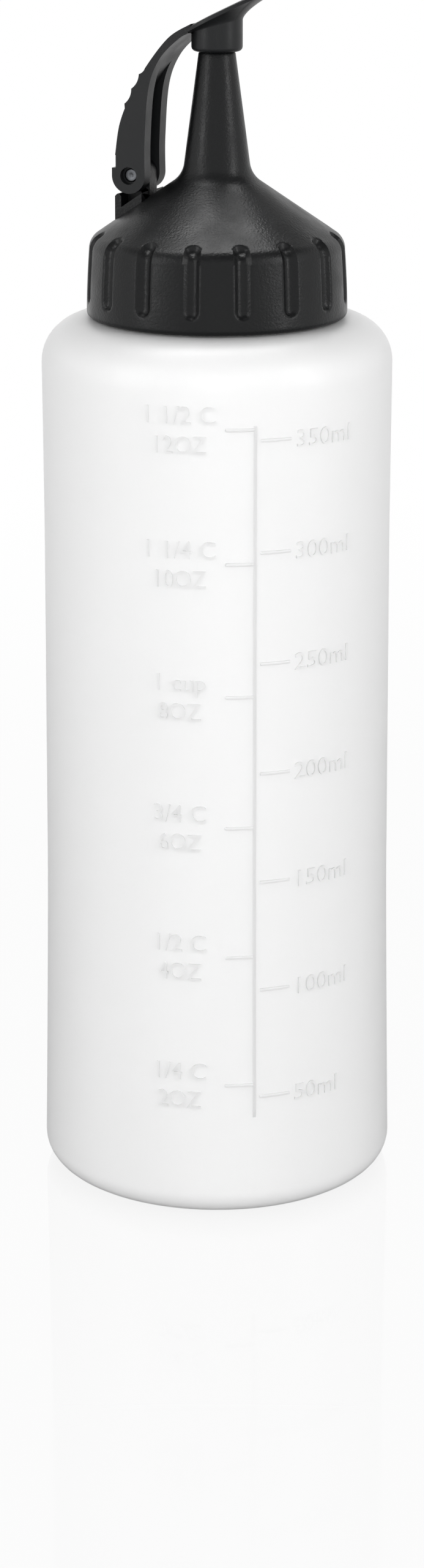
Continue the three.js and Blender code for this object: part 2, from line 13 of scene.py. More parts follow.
import bmesh
import bpy
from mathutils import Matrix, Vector

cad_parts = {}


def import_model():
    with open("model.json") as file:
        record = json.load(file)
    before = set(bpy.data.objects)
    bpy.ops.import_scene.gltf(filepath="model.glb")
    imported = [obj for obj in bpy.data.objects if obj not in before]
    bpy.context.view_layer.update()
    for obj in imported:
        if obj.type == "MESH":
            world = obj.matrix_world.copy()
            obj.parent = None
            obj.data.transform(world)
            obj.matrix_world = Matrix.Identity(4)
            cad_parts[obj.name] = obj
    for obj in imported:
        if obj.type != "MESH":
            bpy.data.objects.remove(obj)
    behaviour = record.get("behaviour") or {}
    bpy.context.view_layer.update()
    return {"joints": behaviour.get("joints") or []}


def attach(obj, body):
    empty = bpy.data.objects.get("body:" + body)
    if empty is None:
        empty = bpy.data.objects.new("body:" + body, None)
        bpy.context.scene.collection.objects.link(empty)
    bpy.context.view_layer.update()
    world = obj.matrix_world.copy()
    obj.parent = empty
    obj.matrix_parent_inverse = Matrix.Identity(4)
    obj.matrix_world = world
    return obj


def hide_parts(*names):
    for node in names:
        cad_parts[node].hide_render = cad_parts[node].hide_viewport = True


LOG = logging.getLogger("dosing_bottle")
MM = 0.001
ROUND_COUNT = 192
SMALL_COUNT = 64
THREAD_LEAD = 4.2
WHITE = (1.0, 1.0, 1.0, 1.0)

Point = tuple[float, float]
Triple = tuple[float, float, float]
Shape = tuple[list[Triple], list[tuple[int, ...]]]
Value = float | bpy.types.NodeSocket
Inputs = dict[str | int, object]


# Colours and nodes

def linear_colour(code: str) -> tuple[float, float, float, float]:
    """Turns an sRGB hex colour to linear light.

    Args:
        code: Six hex digits after a hash sign.

    Returns:
        Linear red, green and blue, with an alpha of 1.
    """
    parts = [int(code[i:i + 2], 16) / 255 for i in (1, 3, 5)]
    lit = [c / 12.92 if c <= 0.04045 else ((c + 0.055) / 1.055) ** 2.4 for c in parts]
    return (lit[0], lit[1], lit[2], 1.0)


def add_node(tree: bpy.types.NodeTree, kind: str, inputs: Inputs | None = None,
             **settings: object) -> bpy.types.Node:
    """Adds a node with its settings, and fills or links its inputs.

    Args:
        tree: The node tree that takes the node.
        kind: The node's type name.
        inputs: Socket name or number to a value, or to the output socket that is linked to it.
        **settings: The node's own properties.

    Returns:
        The new node.
    """
    node = tree.nodes.new(kind)
    for name, value in settings.items():
        setattr(node, name, value)
    for key, value in (inputs or {}).items():
        if isinstance(value, bpy.types.NodeSocket):
            tree.links.new(value, node.inputs[key])
        else:
            node.inputs[key].default_value = value
    return node


def plain_material(name: str) -> tuple[bpy.types.Material, bpy.types.NodeTree, bpy.types.Node]:
    """Starts a material with a bare Principled shader.

    Args:
        name: The real material and how it was made.

    Returns:
        The material, its node tree and the shader node.
    """
    material = bpy.data.materials.new(name)
    material.use_nodes = True
    tree = material.node_tree
    return material, tree, tree.nodes["Principled BSDF"]


# Finishes

class Grain(Enum):
    """How a moulded surface was left by its tool, as the share of the grain's depth that shows."""

    SPARK_ERODED = 1.0
    SATIN = 0.6


# Opaque black with broad, dim highlights: the eye sees a dull sheen that follows each form, and no mirror.
# The tool's real grain is about 0.1 mm, too fine to show, so it is drawn three to five times as coarse.
@dataclass(frozen=True)
class MouldedPlastic:
    """Injection-moulded polypropylene: opaque, with a fine grain that breaks up its highlights."""

    name: str
    colour: str
    roughness: float
    grain: Grain
    grain_mm: float
    grain_depth_mm: float
    ior: float = 1.49
    specular_level: float = 0.26
    sheen_change: float = 0.07
    patch_mm: float = 5.0

    def material(self) -> bpy.types.Material:
        """Builds the material: the tool's grain as bump, and patches a little duller or brighter.

        Returns:
            The moulded plastic.
        """
        material, tree, shader = plain_material(self.name)
        shader.inputs["Base Color"].default_value = linear_colour(self.colour)
        shader.inputs["IOR"].default_value = self.ior
        shader.inputs["Specular IOR Level"].default_value = self.specular_level
        place = add_node(tree, "ShaderNodeTexCoord").outputs["Object"]
        patches = add_node(tree, "ShaderNodeTexNoise",
                           {"Vector": place, "Scale": 1 / (self.patch_mm * MM), "Detail": 3.0})
        spread = add_node(tree, "ShaderNodeMapRange", {
            "Value": patches.outputs["Fac"],
            "From Min": 0.3,
            "From Max": 0.7,
            "To Min": self.roughness - self.sheen_change,
            "To Max": self.roughness + self.sheen_change,
        })
        tree.links.new(spread.outputs["Result"], shader.inputs["Roughness"])
        bumps = add_node(tree, "ShaderNodeTexNoise",
                         {"Vector": place, "Scale": 1 / (self.grain_mm * MM), "Detail": 2.0})
        bump = add_node(tree, "ShaderNodeBump", {
            "Height": bumps.outputs["Fac"],
            "Distance": self.grain_depth_mm * MM,
            "Strength": self.grain.value,
        })
        tree.links.new(bump.outputs["Normal"], shader.inputs["Normal"])
        return material


# Milky white with no sharp shadow or highlight: light spreads a few millimetres under the skin.
# The wall varies in thickness along the blown tube, which the eye sees as clouds drawn out upwards.
@dataclass(frozen=True)
class BlownPolyethylene:
    """Natural low-density polyethylene, blown: milky, lets light through, with a satin skin."""

    name: str = "natural polyethylene, blown"
    colour: str = "#f4f4f4"
    cloud_colour: str = "#ececec"
    roughness: float = 0.4
    ior: float = 1.51
    scatter: float = 0.4
    scatter_mm: float = 5.0
    cloud_mm: float = 30.0
    cloud_stretch: float = 0.3
    skin_mm: float = 0.9
    skin_depth_mm: float = 0.008

    def material(self) -> bpy.types.Material:
        """Builds the material: light scattered under the skin, and faint clouds where the wall varies.

        Returns:
            The blown polyethylene.
        """
        material, tree, shader = plain_material(self.name)
        shader.inputs["Roughness"].default_value = self.roughness
        shader.inputs["IOR"].default_value = self.ior
        shader.inputs["Subsurface Weight"].default_value = self.scatter
        shader.inputs["Subsurface Radius"].default_value = (1.0, 1.0, 1.0)
        shader.inputs["Subsurface Scale"].default_value = self.scatter_mm * MM
        place = add_node(tree, "ShaderNodeTexCoord").outputs["Object"]
        drawn = add_node(tree, "ShaderNodeMapping",
                         {"Vector": place, "Scale": (1.0, 1.0, self.cloud_stretch)})
        clouds = add_node(tree, "ShaderNodeTexNoise", {
            "Vector": drawn.outputs["Vector"],
            "Scale": 1 / (self.cloud_mm * MM),
            "Detail": 2.0,
        })
        tint = add_node(tree, "ShaderNodeMixRGB", {
            "Fac": clouds.outputs["Fac"],
            "Color1": linear_colour(self.colour),
            "Color2": linear_colour(self.cloud_colour),
        })
        tree.links.new(tint.outputs["Color"], shader.inputs["Base Color"])
        skin = add_node(tree, "ShaderNodeTexNoise",
                        {"Vector": place, "Scale": 1 / (self.skin_mm * MM), "Detail": 2.0})
        bump = add_node(tree, "ShaderNodeBump",
                        {"Height": skin.outputs["Fac"], "Distance": self.skin_depth_mm * MM, "Strength": 0.5})
        tree.links.new(bump.outputs["Normal"], shader.inputs["Normal"])
        return material


# A dull, soft grey-white beside the bottle's clean white, with specks where dust clings to it.
# Real dust is under 0.1 mm, too fine to show, so its specks are drawn coarser.
@dataclass(frozen=True)
class SoftSilicone:
    """Moulded white silicone: soft, a little see-through, with a dull skin that holds dust."""

    name: str = "white silicone, moulded"
    colour: str = "#dfe0dc"
    dust_colour: str = "#cfd0cb"
    roughness: float = 0.55
    ior: float = 1.41
    scatter: float = 0.3
    scatter_mm: float = 1.5
    dust_mm: float = 0.8

    def material(self) -> bpy.types.Material:
        """Builds the material: soft scattering, with fine dusty specks.

        Returns:
            The silicone.
        """
        material, tree, shader = plain_material(self.name)
        shader.inputs["Roughness"].default_value = self.roughness
        shader.inputs["IOR"].default_value = self.ior
        shader.inputs["Subsurface Weight"].default_value = self.scatter
        shader.inputs["Subsurface Radius"].default_value = (1.0, 1.0, 1.0)
        shader.inputs["Subsurface Scale"].default_value = self.scatter_mm * MM
        place = add_node(tree, "ShaderNodeTexCoord").outputs["Object"]
        dust = add_node(tree, "ShaderNodeTexNoise",
                        {"Vector": place, "Scale": 1 / (self.dust_mm * MM), "Detail": 4.0})
        tint = add_node(tree, "ShaderNodeMixRGB", {
            "Fac": dust.outputs["Fac"],
            "Color1": linear_colour(self.colour),
            "Color2": linear_colour(self.dust_colour),
        })
        tree.links.new(tint.outputs["Color"], shader.inputs["Base Color"])
        return material


# A satin metal with highlights that stretch along the wire; its colour is darker than bare steel, as painted
# shade for the recess it sits in.
# Real drawing lines are about 0.02 mm apart, too fine to show, so they are drawn six times as coarse.
@dataclass(frozen=True)
class DrawnSteel:
    """Stainless steel wire, drawn and cut: fine lines run along it, and its cut ends are duller."""

    name: str = "stainless steel, drawn wire"
    # painted shade: a grey darker than bare stainless steel, standing in for the dim recess round the pin
    colour: str = "#6f7174"
    roughness: float = 0.5
    line_mm: float = 0.12
    line_depth_mm: float = 0.004
    line_stretch: float = 0.04

    def material(self) -> bpy.types.Material:
        """Builds the material: metal whose colour is darkened as painted shade, with drawing lines along Y in
        its roughness and bump.

        Returns:
            The steel.
        """
        material, tree, shader = plain_material(self.name)
        # the darkened grey paints the recess's shade into the metal's colour
        shader.inputs["Base Color"].default_value = linear_colour(self.colour)
        shader.inputs["Metallic"].default_value = 1.0
        place = add_node(tree, "ShaderNodeTexCoord").outputs["Object"]
        drawn = add_node(tree, "ShaderNodeMapping", {"Vector": place, "Scale": (1.0, self.line_stretch, 1.0)})
        lines = add_node(tree, "ShaderNodeTexNoise", {
            "Vector": drawn.outputs["Vector"],
            "Scale": 1 / (self.line_mm * MM),
            "Detail": 3.0,
        })
        spread = add_node(tree, "ShaderNodeMapRange", {
            "Value": lines.outputs["Fac"],
            "To Min": self.roughness - 0.1,
            "To Max": self.roughness + 0.15,
        })
        tree.links.new(spread.outputs["Result"], shader.inputs["Roughness"])
        bump = add_node(tree, "ShaderNodeBump", {
            "Height": lines.outputs["Fac"],
            "Distance": self.line_depth_mm * MM,
            "Strength": 0.5,
        })
        tree.links.new(bump.outputs["Normal"], shader.inputs["Normal"])
        return material


# Shapes

def arc_points(centre: Point, radius: float, start: float, end: float, steps: int) -> list[Point]:
    """Points of an arc, both ends included.

    Args:
        centre: The arc's centre.
        radius: Its radius.
        start: First angle, in radians from the first axis.
        end: Last angle.
        steps: How many straight pieces stand for it.

    Returns:
        The points in order.
    """
    angles = [start + (end - start) * i / steps for i in range(steps + 1)]
    return [(centre[0] + radius * math.cos(a), centre[1] + radius * math.sin(a)) for a in angles]


def line_points(start: Point, end: Point, steps: int) -> list[Point]:
    """Evenly spaced points of a straight line, without its first point."""
    shares = [i / steps for i in range(1, steps + 1)]
    return [(start[0] + (end[0] - start[0]) * s, start[1] + (end[1] - start[1]) * s) for s in shares]


def revolve(profile: Sequence[Point], count: int = ROUND_COUNT) -> Shape:
    """Turns a closed section about the Z axis.

    Args:
        profile: (radius, height) points round the section; those on the axis become one vertex each.
        count: How many columns go round.

    Returns:
        Vertices and faces.
    """
    vertices: list[Triple] = []
    rings: list[list[int]] = []
    turns = [2 * math.pi * i / count for i in range(count)]
    for radius, height in profile:
        if radius < 1e-6:
            rings.append([len(vertices)] * count)
            vertices.append((0.0, 0.0, height))
        else:
            rings.append([len(vertices) + i for i in range(count)])
            vertices += [(radius * math.cos(a), radius * math.sin(a), height) for a in turns]
    faces = []
    for low, high in zip(rings, rings[1:] + rings[:1]):
        for i in range(count):
            j = (i + 1) % count
            corners = tuple(dict.fromkeys((low[i], low[j], high[j], high[i])))
            if len(corners) > 2:
                faces.append(corners)
    return vertices, faces


def loft(rings: Sequence[Sequence[Triple]]) -> Shape:
    """Joins rings of equal count into a closed skin, with one face over each end.

    Args:
        rings: Corners of each ring, in order along the skin.

    Returns:
        Vertices and faces.
    """
    count = len(rings[0])
    vertices = [corner for ring in rings for corner in ring]
    faces: list[tuple[int, ...]] = []
    for k in range(len(rings) - 1):
        for i in range(count):
            j = (i + 1) % count
            faces.append((k * count + i, k * count + j, (k + 1) * count + j, (k + 1) * count + i))
    last = (len(rings) - 1) * count
    faces.append(tuple(range(count - 1, -1, -1)))
    faces.append(tuple(range(last, last + count)))
    return vertices, faces


def plate(outline: Sequence[Point], width: float, middle: float = 0.0) -> Shape:
    """Extrudes an outline of (x, z) points along Y, centred on a place along Y."""
    return loft([[(x, middle + side * width / 2, z) for x, z in outline] for side in (-1, 1)])


def cross_bar(x: float, z: float, radius: float, width: float, middle: float = 0.0) -> Shape:
    """A round bar along Y, centred on a place along Y."""
    return plate(arc_points((x, z), radius, 0.0, 2 * math.pi, SMALL_COUNT)[:-1], width, middle)


def make_piece(name: str, shapes: Sequence[Shape], material: bpy.types.Material) -> bpy.types.Object:
    """Makes one object out of closed shapes in millimetres.

    Args:
        name: The piece's name.
        shapes: Vertices and faces of each closed shape.
        material: Its finish.

    Returns:
        The object, at the origin, with its faces outwards.
    """
    mesh = bpy.data.meshes.new(name)
    work = bmesh.new()
    for vertices, faces in shapes:
        corners = [work.verts.new((x * MM, y * MM, z * MM)) for x, y, z in vertices]
        for face in faces:
            work.faces.new([corners[i] for i in face])
    bmesh.ops.recalc_face_normals(work, faces=work.faces)
    work.to_mesh(mesh)
    work.free()
    mesh.materials.append(material)
    piece = bpy.data.objects.new(name, mesh)
    bpy.context.scene.collection.objects.link(piece)
    return piece


def settle(piece: bpy.types.Object) -> None:
    """Turns a piece's live modifiers into plain mesh and takes them off.

    Args:
        piece: The piece.
    """
    graph = bpy.context.evaluated_depsgraph_get()
    mesh = bpy.data.meshes.new_from_object(piece.evaluated_get(graph), preserve_all_data_layers=True,
                                           depsgraph=graph)
    mesh.name = piece.name
    piece.modifiers.clear()
    piece.data = mesh


def smooth(piece: bpy.types.Object, sharp_degrees: float = 35.0) -> None:
    """Shades a piece smooth, with edges over an angle kept sharp."""
    piece.data.shade_smooth()
    piece.data.set_sharp_from_angle(angle=math.radians(sharp_degrees))


class Joining(Enum):
    """How one solid works on another."""

    ADD = "UNION"
    CUT = "DIFFERENCE"


def work_on(piece: bpy.types.Object, joining: Joining, shapes: Sequence[Shape]) -> None:
    """Adds solids to a piece, or cuts them out of it, one after the other.

    Args:
        piece: The piece worked on.
        joining: Whether the solids are added or cut out.
        shapes: Vertices and faces of each closed solid.
    """
    for shape in shapes:
        tool = make_piece("tool", [shape], piece.data.materials[0])
        step = piece.modifiers.new("step", "BOOLEAN")
        step.operation = joining.value
        step.solver = "EXACT"
        step.object = tool
        settle(piece)
        bpy.data.objects.remove(tool)


def round_edges(piece: bpy.types.Object, width: float, segments: int = 2, over_degrees: float = 40.0) -> None:
    """Rounds a piece's edges, with flat faces left flat in shading.

    Args:
        piece: The piece.
        width: Width of the rounding, in millimetres.
        segments: Faces across it.
        over_degrees: Only edges sharper than this are rounded.
    """
    bevel = piece.modifiers.new("rounding", "BEVEL")
    bevel.width = width * MM
    bevel.segments = segments
    bevel.limit_method = "ANGLE"
    bevel.angle_limit = math.radians(over_degrees)
    bevel.harden_normals = False
    settle(piece)


def even_shading(piece: bpy.types.Object, sharp_degrees: float = 35.0) -> None:
    """Shades a cut piece smooth, with the large faces deciding the shading at their edges.

    Args:
        piece: The piece.
        sharp_degrees: Edges over this angle stay sharp.
    """
    smooth(piece, sharp_degrees)
    weighting = piece.modifiers.new("weighting", "WEIGHTED_NORMAL")
    weighting.keep_sharp = True
    weighting.weight = 80
    settle(piece)


def dress(piece: bpy.types.Object, body: str, slot: str, *nodes: str) -> None:
    """Hands a finished piece to the frame: the body it moves with and the solids it stands for.

    Args:
        piece: The piece.
        body: The body it rides on.
        slot: The record's slot for its finish; not used.
        *nodes: The solids it replaces.
    """
    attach(piece, body)
    if nodes:
        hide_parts(*nodes)
    low, high = Vector(piece.bound_box[0]), Vector(piece.bound_box[6])
    LOG.info("%s: %d faces, %.1f to %.1f mm high", piece.name, len(piece.data.polygons),
             low.z / MM, high.z / MM)


# Edge curves

class EdgeCurve:
    """A smooth curve through given points, measured by its length."""

    def __init__(self, knots: Sequence[Point], steps: int = 40) -> None:
        """Samples the curve.

        Args:
            knots: The points it passes through.
            steps: Straight pieces between two knots.
        """
        ends = [knots[0], *knots, knots[-1]]
        self.samples: list[Point] = [knots[0]]
        for before, start, end, after in zip(ends, ends[1:], ends[2:], ends[3:]):
            for i in range(1, steps + 1):
                share = i / steps
                self.samples.append((self._between(before[0], start[0], end[0], after[0], share),
                                     self._between(before[1], start[1], end[1], after[1], share)))
        self.lengths = [0.0]
        for a, b in zip(self.samples, self.samples[1:]):
            self.lengths.append(self.lengths[-1] + math.dist(a, b))
        self.length = self.lengths[-1]

    @staticmethod
    def _between(before: float, start: float, end: float, after: float, share: float) -> float:
        """One coordinate of the curve, at a share of the way between two knots.

        Args:
            before: The knot before the stretch.
            start: The knot where it starts.
            end: The knot where it ends.
            after: The knot after it.
            share: How far along, 0 to 1.

        Returns:
            The coordinate.
        """
        slope_in = (end - before) / 2
        slope_out = (after - start) / 2
        cube = 2 * start - 2 * end + slope_in + slope_out
        square = -3 * start + 3 * end - 2 * slope_in - slope_out
        return cube * share ** 3 + square * share ** 2 + slope_in * share + start

    def at(self, length: float, outwards: float = 0.0) -> Point:
        """The point at a length along the curve, moved to the curve's left side.

        Args:
            length: Length from the first knot.
            outwards: How far it moves to the left.

        Returns:
            The point.
        """
        wanted = min(max(length, 0.0), self.length)
        k = 1
        while k < len(self.lengths) - 1 and self.lengths[k] < wanted:
            k += 1
        a, b = self.samples[k - 1], self.samples[k]
        reach = self.lengths[k] - self.lengths[k - 1]
        share = (wanted - self.lengths[k - 1]) / reach
        run, rise = (b[0] - a[0]) / reach, (b[1] - a[1]) / reach
        return (a[0] + (b[0] - a[0]) * share - rise * outwards,
                a[1] + (b[1] - a[1]) * share + run * outwards)

    def part(self, start: float, end: float, steps: int, outwards: float = 0.0) -> list[Point]:
        """Evenly spaced points between two lengths, both ends included."""
        return [self.at(start + (end - start) * i / steps, outwards) for i in range(steps + 1)]


# Node trees for what repeats or follows a path

class SizedTree:
    """A geometry node tree with named sizes, which is run once and left as plain mesh."""

    def __init__(self, name: str, sizes: dict[str, float], whole: Sequence[str] = ()) -> None:
        """Starts a tree.

        Args:
            name: The tree's name.
            sizes: Its named inputs, with their values: metres, radians or counts.
            whole: The names among them that are whole numbers.
        """
        self.tree = bpy.data.node_groups.new(name, "GeometryNodeTree")
        self.sizes = sizes
        self.tree.interface.new_socket("Geometry", in_out="OUTPUT", socket_type="NodeSocketGeometry")
        for size in sizes:
            kind = "NodeSocketInt" if size in whole else "NodeSocketFloat"
            self.tree.interface.new_socket(size, in_out="INPUT", socket_type=kind)
        self.inputs = add_node(self.tree, "NodeGroupInput").outputs

    def sum(self, operation: str, first: Value, second: Value) -> bpy.types.NodeSocket:
        """The result of a sum of two numbers or sockets."""
        return add_node(self.tree, "ShaderNodeMath", {0: first, 1: second},
                        operation=operation).outputs["Value"]

    def point(self, x: Value, y: Value, z: Value) -> bpy.types.NodeSocket:
        """A point put together from three numbers or sockets."""
        return add_node(self.tree, "ShaderNodeCombineXYZ", {"X": x, "Y": y, "Z": z}).outputs["Vector"]

    def run(self, name: str, geometry: bpy.types.NodeSocket,
            material: bpy.types.Material) -> bpy.types.Object:
        """Ends the tree and turns what it makes into a piece.

        Args:
            name: The piece's name.
            geometry: The socket that gives the shape.
            material: Its finish.

        Returns:
            The piece, as plain mesh.
        """
        real = add_node(self.tree, "GeometryNodeRealizeInstances", {"Geometry": geometry})
        finished = add_node(self.tree, "GeometryNodeSetMaterial",
                            {"Geometry": real.outputs["Geometry"], "Material": material})
        add_node(self.tree, "NodeGroupOutput", {"Geometry": finished.outputs["Geometry"]})
        piece = bpy.data.objects.new(name, bpy.data.meshes.new(name))
        bpy.context.scene.collection.objects.link(piece)
        maker = piece.modifiers.new("maker", "NODES")
        maker.node_group = self.tree
        for item in self.tree.interface.items_tree:
            if item.in_out == "INPUT":
                maker[item.identifier] = self.sizes[item.name]
        settle(piece)
        return piece


@dataclass(frozen=True)
class ThreadRidge:
    """A right-handed screw ridge on a round wall, with both ends fading into it."""

    wall_radius: float
    crest_radius: float
    turns: float
    start_angle: float
    start_height: float
    lead: float = THREAD_LEAD
    root_width: float = 1.9
    crest_width: float = 0.9
    run_out: float = 0.5
    least_fade: float = 0.12
    sunk: float = 0.2
    rounding: float = 0.25

    def build(self, name: str, material: bpy.types.Material) -> bpy.types.Object:
        """Sweeps the ridge's section along its spiral.

        Args:
            name: The piece's name.
            material: Its finish.

        Returns:
            The ridge, as plain mesh.
        """
        inwards = -1.0 if self.crest_radius < self.wall_radius else 1.0
        maker = SizedTree(name, {
            "Turns": self.turns,
            "Lead": self.lead * MM,
            "Root radius": (self.wall_radius - inwards * self.sunk) * MM,
            "Section height": (self.crest_radius - self.wall_radius + inwards * self.sunk) * MM,
            "Half root width": self.root_width / 2 * MM,
            "Half crest width": self.crest_width / 2 * MM,
            "Start angle": self.start_angle,
            "Start height": self.start_height * MM,
            "Run out": self.run_out / (2 * math.pi * self.turns),
        })
        tree, size = maker.tree, maker.inputs
        spiral = add_node(tree, "GeometryNodeCurveSpiral", {
            "Resolution": 96,
            "Rotations": size["Turns"],
            "Start Radius": size["Root radius"],
            "End Radius": size["Root radius"],
            "Height": maker.sum("MULTIPLY", size["Turns"], size["Lead"]),
            "Reverse": True,
        })
        upright = add_node(tree, "GeometryNodeSetCurveNormal", {"Curve": spiral.outputs["Curve"]},
                           mode="Z_UP")
        along = add_node(tree, "GeometryNodeSplineParameter").outputs["Factor"]
        rising = maker.sum("DIVIDE", along, size["Run out"])
        falling = maker.sum("DIVIDE", maker.sum("SUBTRACT", 1.0, along), size["Run out"])
        rounded = maker.sum("MINIMUM", maker.sum("MINIMUM", rising, falling), 1.0)
        fade = maker.sum("MAXIMUM", rounded, self.least_fade)
        tapered = add_node(tree, "GeometryNodeSetCurveRadius",
                           {"Curve": upright.outputs["Curve"], "Radius": fade})
        root, crest = size["Half root width"], size["Half crest width"]
        section = add_node(tree, "GeometryNodeCurvePrimitiveQuadrilateral", {
            "Point 1": maker.point(0.0, maker.sum("MULTIPLY", root, -1.0), 0.0),
            "Point 2": maker.point(size["Section height"], maker.sum("MULTIPLY", crest, -1.0), 0.0),
            "Point 3": maker.point(size["Section height"], crest, 0.0),
            "Point 4": maker.point(0.0, root, 0.0),
        }, mode="POINTS")
        swept = add_node(tree, "GeometryNodeCurveToMesh", {
            "Curve": tapered.outputs["Curve"],
            "Profile Curve": section.outputs["Curve"],
            "Scale": fade,
            "Fill Caps": True,
        })
        placed = add_node(tree, "GeometryNodeTransform", {
            "Geometry": swept.outputs["Mesh"],
            "Translation": maker.point(0.0, 0.0, size["Start height"]),
            "Rotation": maker.point(0.0, 0.0, size["Start angle"]),
        })
        piece = maker.run(name, placed.outputs["Geometry"], material)
        face_outwards(piece)
        round_edges(piece, self.rounding)
        smooth(piece, 50.0)
        return piece


def face_outwards(piece: bpy.types.Object) -> None:
    """Merges doubled corners of a piece and turns its faces outwards.

    Args:
        piece: The piece.
    """
    work = bmesh.new()
    work.from_mesh(piece.data)
    bmesh.ops.remove_doubles(work, verts=work.verts, dist=1e-6)
    bmesh.ops.recalc_face_normals(work, faces=work.faces)
    work.to_mesh(piece.data)
    work.free()


@dataclass(frozen=True)
class TickRow:
    """A row of scale marks: bars of one length, one above the other."""

    first: float
    step: float
    count: int
    from_angle: float
    to_angle: float

    def build(self, name: str, wall: "BottleWall", bar: "ScaleBar",
              material: bpy.types.Material) -> bpy.types.Object:
        """Repeats one bar up a flat row and lays the row on the wall.

        Args:
            name: The piece's name.
            wall: The wall that carries it.
            bar: The bar's section.
            material: Its finish.

        Returns:
            The row, as plain mesh on the wall.
        """
        middle = math.radians((self.from_angle + self.to_angle) / 2)
        length = math.radians(self.to_angle - self.from_angle) * wall.waist_radius
        maker = SizedTree(name, {
            "Count": self.count,
            "First height": self.first * MM,
            "Step": self.step * MM,
            "Bar length": length * MM,
            "Bar width": bar.width * MM,
            "Bar depth": (bar.height + bar.sunk) * MM,
        }, whole=("Count",))
        tree, size = maker.tree, maker.inputs
        places = add_node(tree, "GeometryNodeMeshLine", {
            "Count": size["Count"],
            "Start Location": maker.point(0.0, size["First height"], 0.0),
            "Offset": maker.point(0.0, size["Step"], 0.0),
        }, mode="OFFSET")
        cube = add_node(tree, "GeometryNodeMeshCube", {
            "Size": maker.point(size["Bar length"], size["Bar width"], size["Bar depth"]),
            "Vertices X": 9,
        })
        repeated = add_node(tree, "GeometryNodeInstanceOnPoints", {
            "Points": places.outputs["Mesh"],
            "Instance": cube.outputs["Mesh"],
        })
        piece = maker.run(name, repeated.outputs["Instances"], material)
        round_edges(piece, bar.rounding)
        wall.wrap(piece, middle, (bar.height - bar.sunk) / 2)
        return piece


@dataclass(frozen=True)
class ScaleBar:
    """Section of the raised bars of the measuring scale."""

    width: float = 0.5
    height: float = 0.3
    sunk: float = 0.3
    rounding: float = 0.12


# Bottle

@dataclass(frozen=True)
class BottleWall:
    """The outside of the bottle: a foot, a slight waist and a round shoulder."""

    foot_radius: float = 30.5
    waist_radius: float = 29.85
    shoulder_radius: float = 30.1
    foot_round: float = 4.5
    shoulder_round: float = 7.5
    waist_start: float = 55.0
    waist_end: float = 112.0
    waist_curve: float = 1.3
    body_height: float = 151.2
    wall: float = 1.0
    foot_ring_width: float = 3.6
    push_up: float = 2.5

    def radius_at(self, height: float) -> float:
        """Outer radius at a height between the foot's round and the shoulder's.

        Args:
            height: Height over the table.

        Returns:
            The radius.
        """
        if height < self.waist_start:
            share = (self.waist_start - height) / (self.waist_start - self.foot_round)
            spread = self.foot_radius - self.waist_radius
            return self.waist_radius + spread * max(share, 0.0) ** self.waist_curve
        if height > self.waist_end:
            share = (height - self.waist_end) / (self.body_height - self.shoulder_round - self.waist_end)
            spread = self.shoulder_radius - self.waist_radius
            return self.waist_radius + spread * share ** self.waist_curve
        return self.waist_radius

    def section(self, depth: float) -> list[Point]:
        """The wall from the foot's flat ring to the neck's root, at a depth under its surface.

        Args:
            depth: 0 for the outside, the wall's thickness for the inside.

        Returns:
            Points of (radius, height).
        """
        points = arc_points((self.foot_radius - self.foot_round, self.foot_round),
                            self.foot_round - depth, -math.pi / 2, 0.0, 10)
        shoulder_base = self.body_height - self.shoulder_round
        steps = 44
        for i in range(1, steps):
            height = self.foot_round + (shoulder_base - self.foot_round) * i / steps
            points.append((self.radius_at(height) - depth, height))
        points += arc_points((self.shoulder_radius - self.shoulder_round, shoulder_base),
                             self.shoulder_round - depth, 0.0, math.pi / 2, 14)
        return points

    def base_section(self, rise: float) -> list[Point]:
        """The hollow under the base from the axis to the flat ring, at a height above its outer face."""
        inner = self.foot_radius - self.foot_round - self.foot_ring_width
        return [(inner * i / 12, rise + self.push_up * (1 - (i / 12) ** 2)) for i in range(13)]

    def wrap(self, piece: bpy.types.Object, middle: float, lift: float) -> None:
        """Lays a flat piece on the wall.

        Args:
            piece: X runs to the right, Y up and Z out of the wall; its object isn't moved.
            middle: Angle about the bottle's axis where X is 0, in radians.
            lift: How far Z = 0 stands out of the wall, in millimetres.
        """
        for corner in piece.data.vertices:
            right, up, out = corner.co
            angle = middle + right / (self.waist_radius * MM)
            radius = self.radius_at(up / MM) * MM + lift * MM + out
            corner.co = (radius * math.cos(angle), radius * math.sin(angle), up)
        smooth(piece)


class Align(Enum):
    """Which end of a line of numerals stands at its given angle."""

    LEFT = "LEFT"
    CENTRE = "CENTER"


@dataclass(frozen=True)
class Numerals:
    """Raised numerals beside the scale's marks."""

    angle: float
    align: Align
    digit_height: float
    depth: float = 0.24
    sunk: float = 0.25
    squeeze: float = 1.0
    font_digit_share: float = 0.729

    def build(self, words: str, height: float, wall: BottleWall,
              material: bpy.types.Material) -> bpy.types.Object:
        """Makes one line of numerals, centred on a height.

        Args:
            words: The numerals and their unit.
            height: Middle of the digits, above the table.
            wall: The wall that carries them.
            material: Its finish.

        Returns:
            The numerals, as plain mesh on the wall.
        """
        curve = bpy.data.curves.new(words, "FONT")
        curve.body = words
        curve.size = self.digit_height / self.font_digit_share * MM
        curve.align_x = self.align.value
        curve.extrude = (self.depth + self.sunk) / 2 * MM
        curve.resolution_u = 5
        holder = bpy.data.objects.new(words, curve)
        bpy.context.scene.collection.objects.link(holder)
        graph = bpy.context.evaluated_depsgraph_get()
        mesh = bpy.data.meshes.new_from_object(holder.evaluated_get(graph))
        bpy.data.objects.remove(holder)
        for corner in mesh.vertices:
            corner.co.x *= self.squeeze
            corner.co.y += (height - self.digit_height / 2) * MM
        mesh.materials.clear()
        mesh.materials.append(material)
        piece = bpy.data.objects.new("numerals", mesh)
        bpy.context.scene.collection.objects.link(piece)
        face_outwards(piece)
        wall.wrap(piece, math.radians(self.angle), (self.depth - self.sunk) / 2)
        return piece


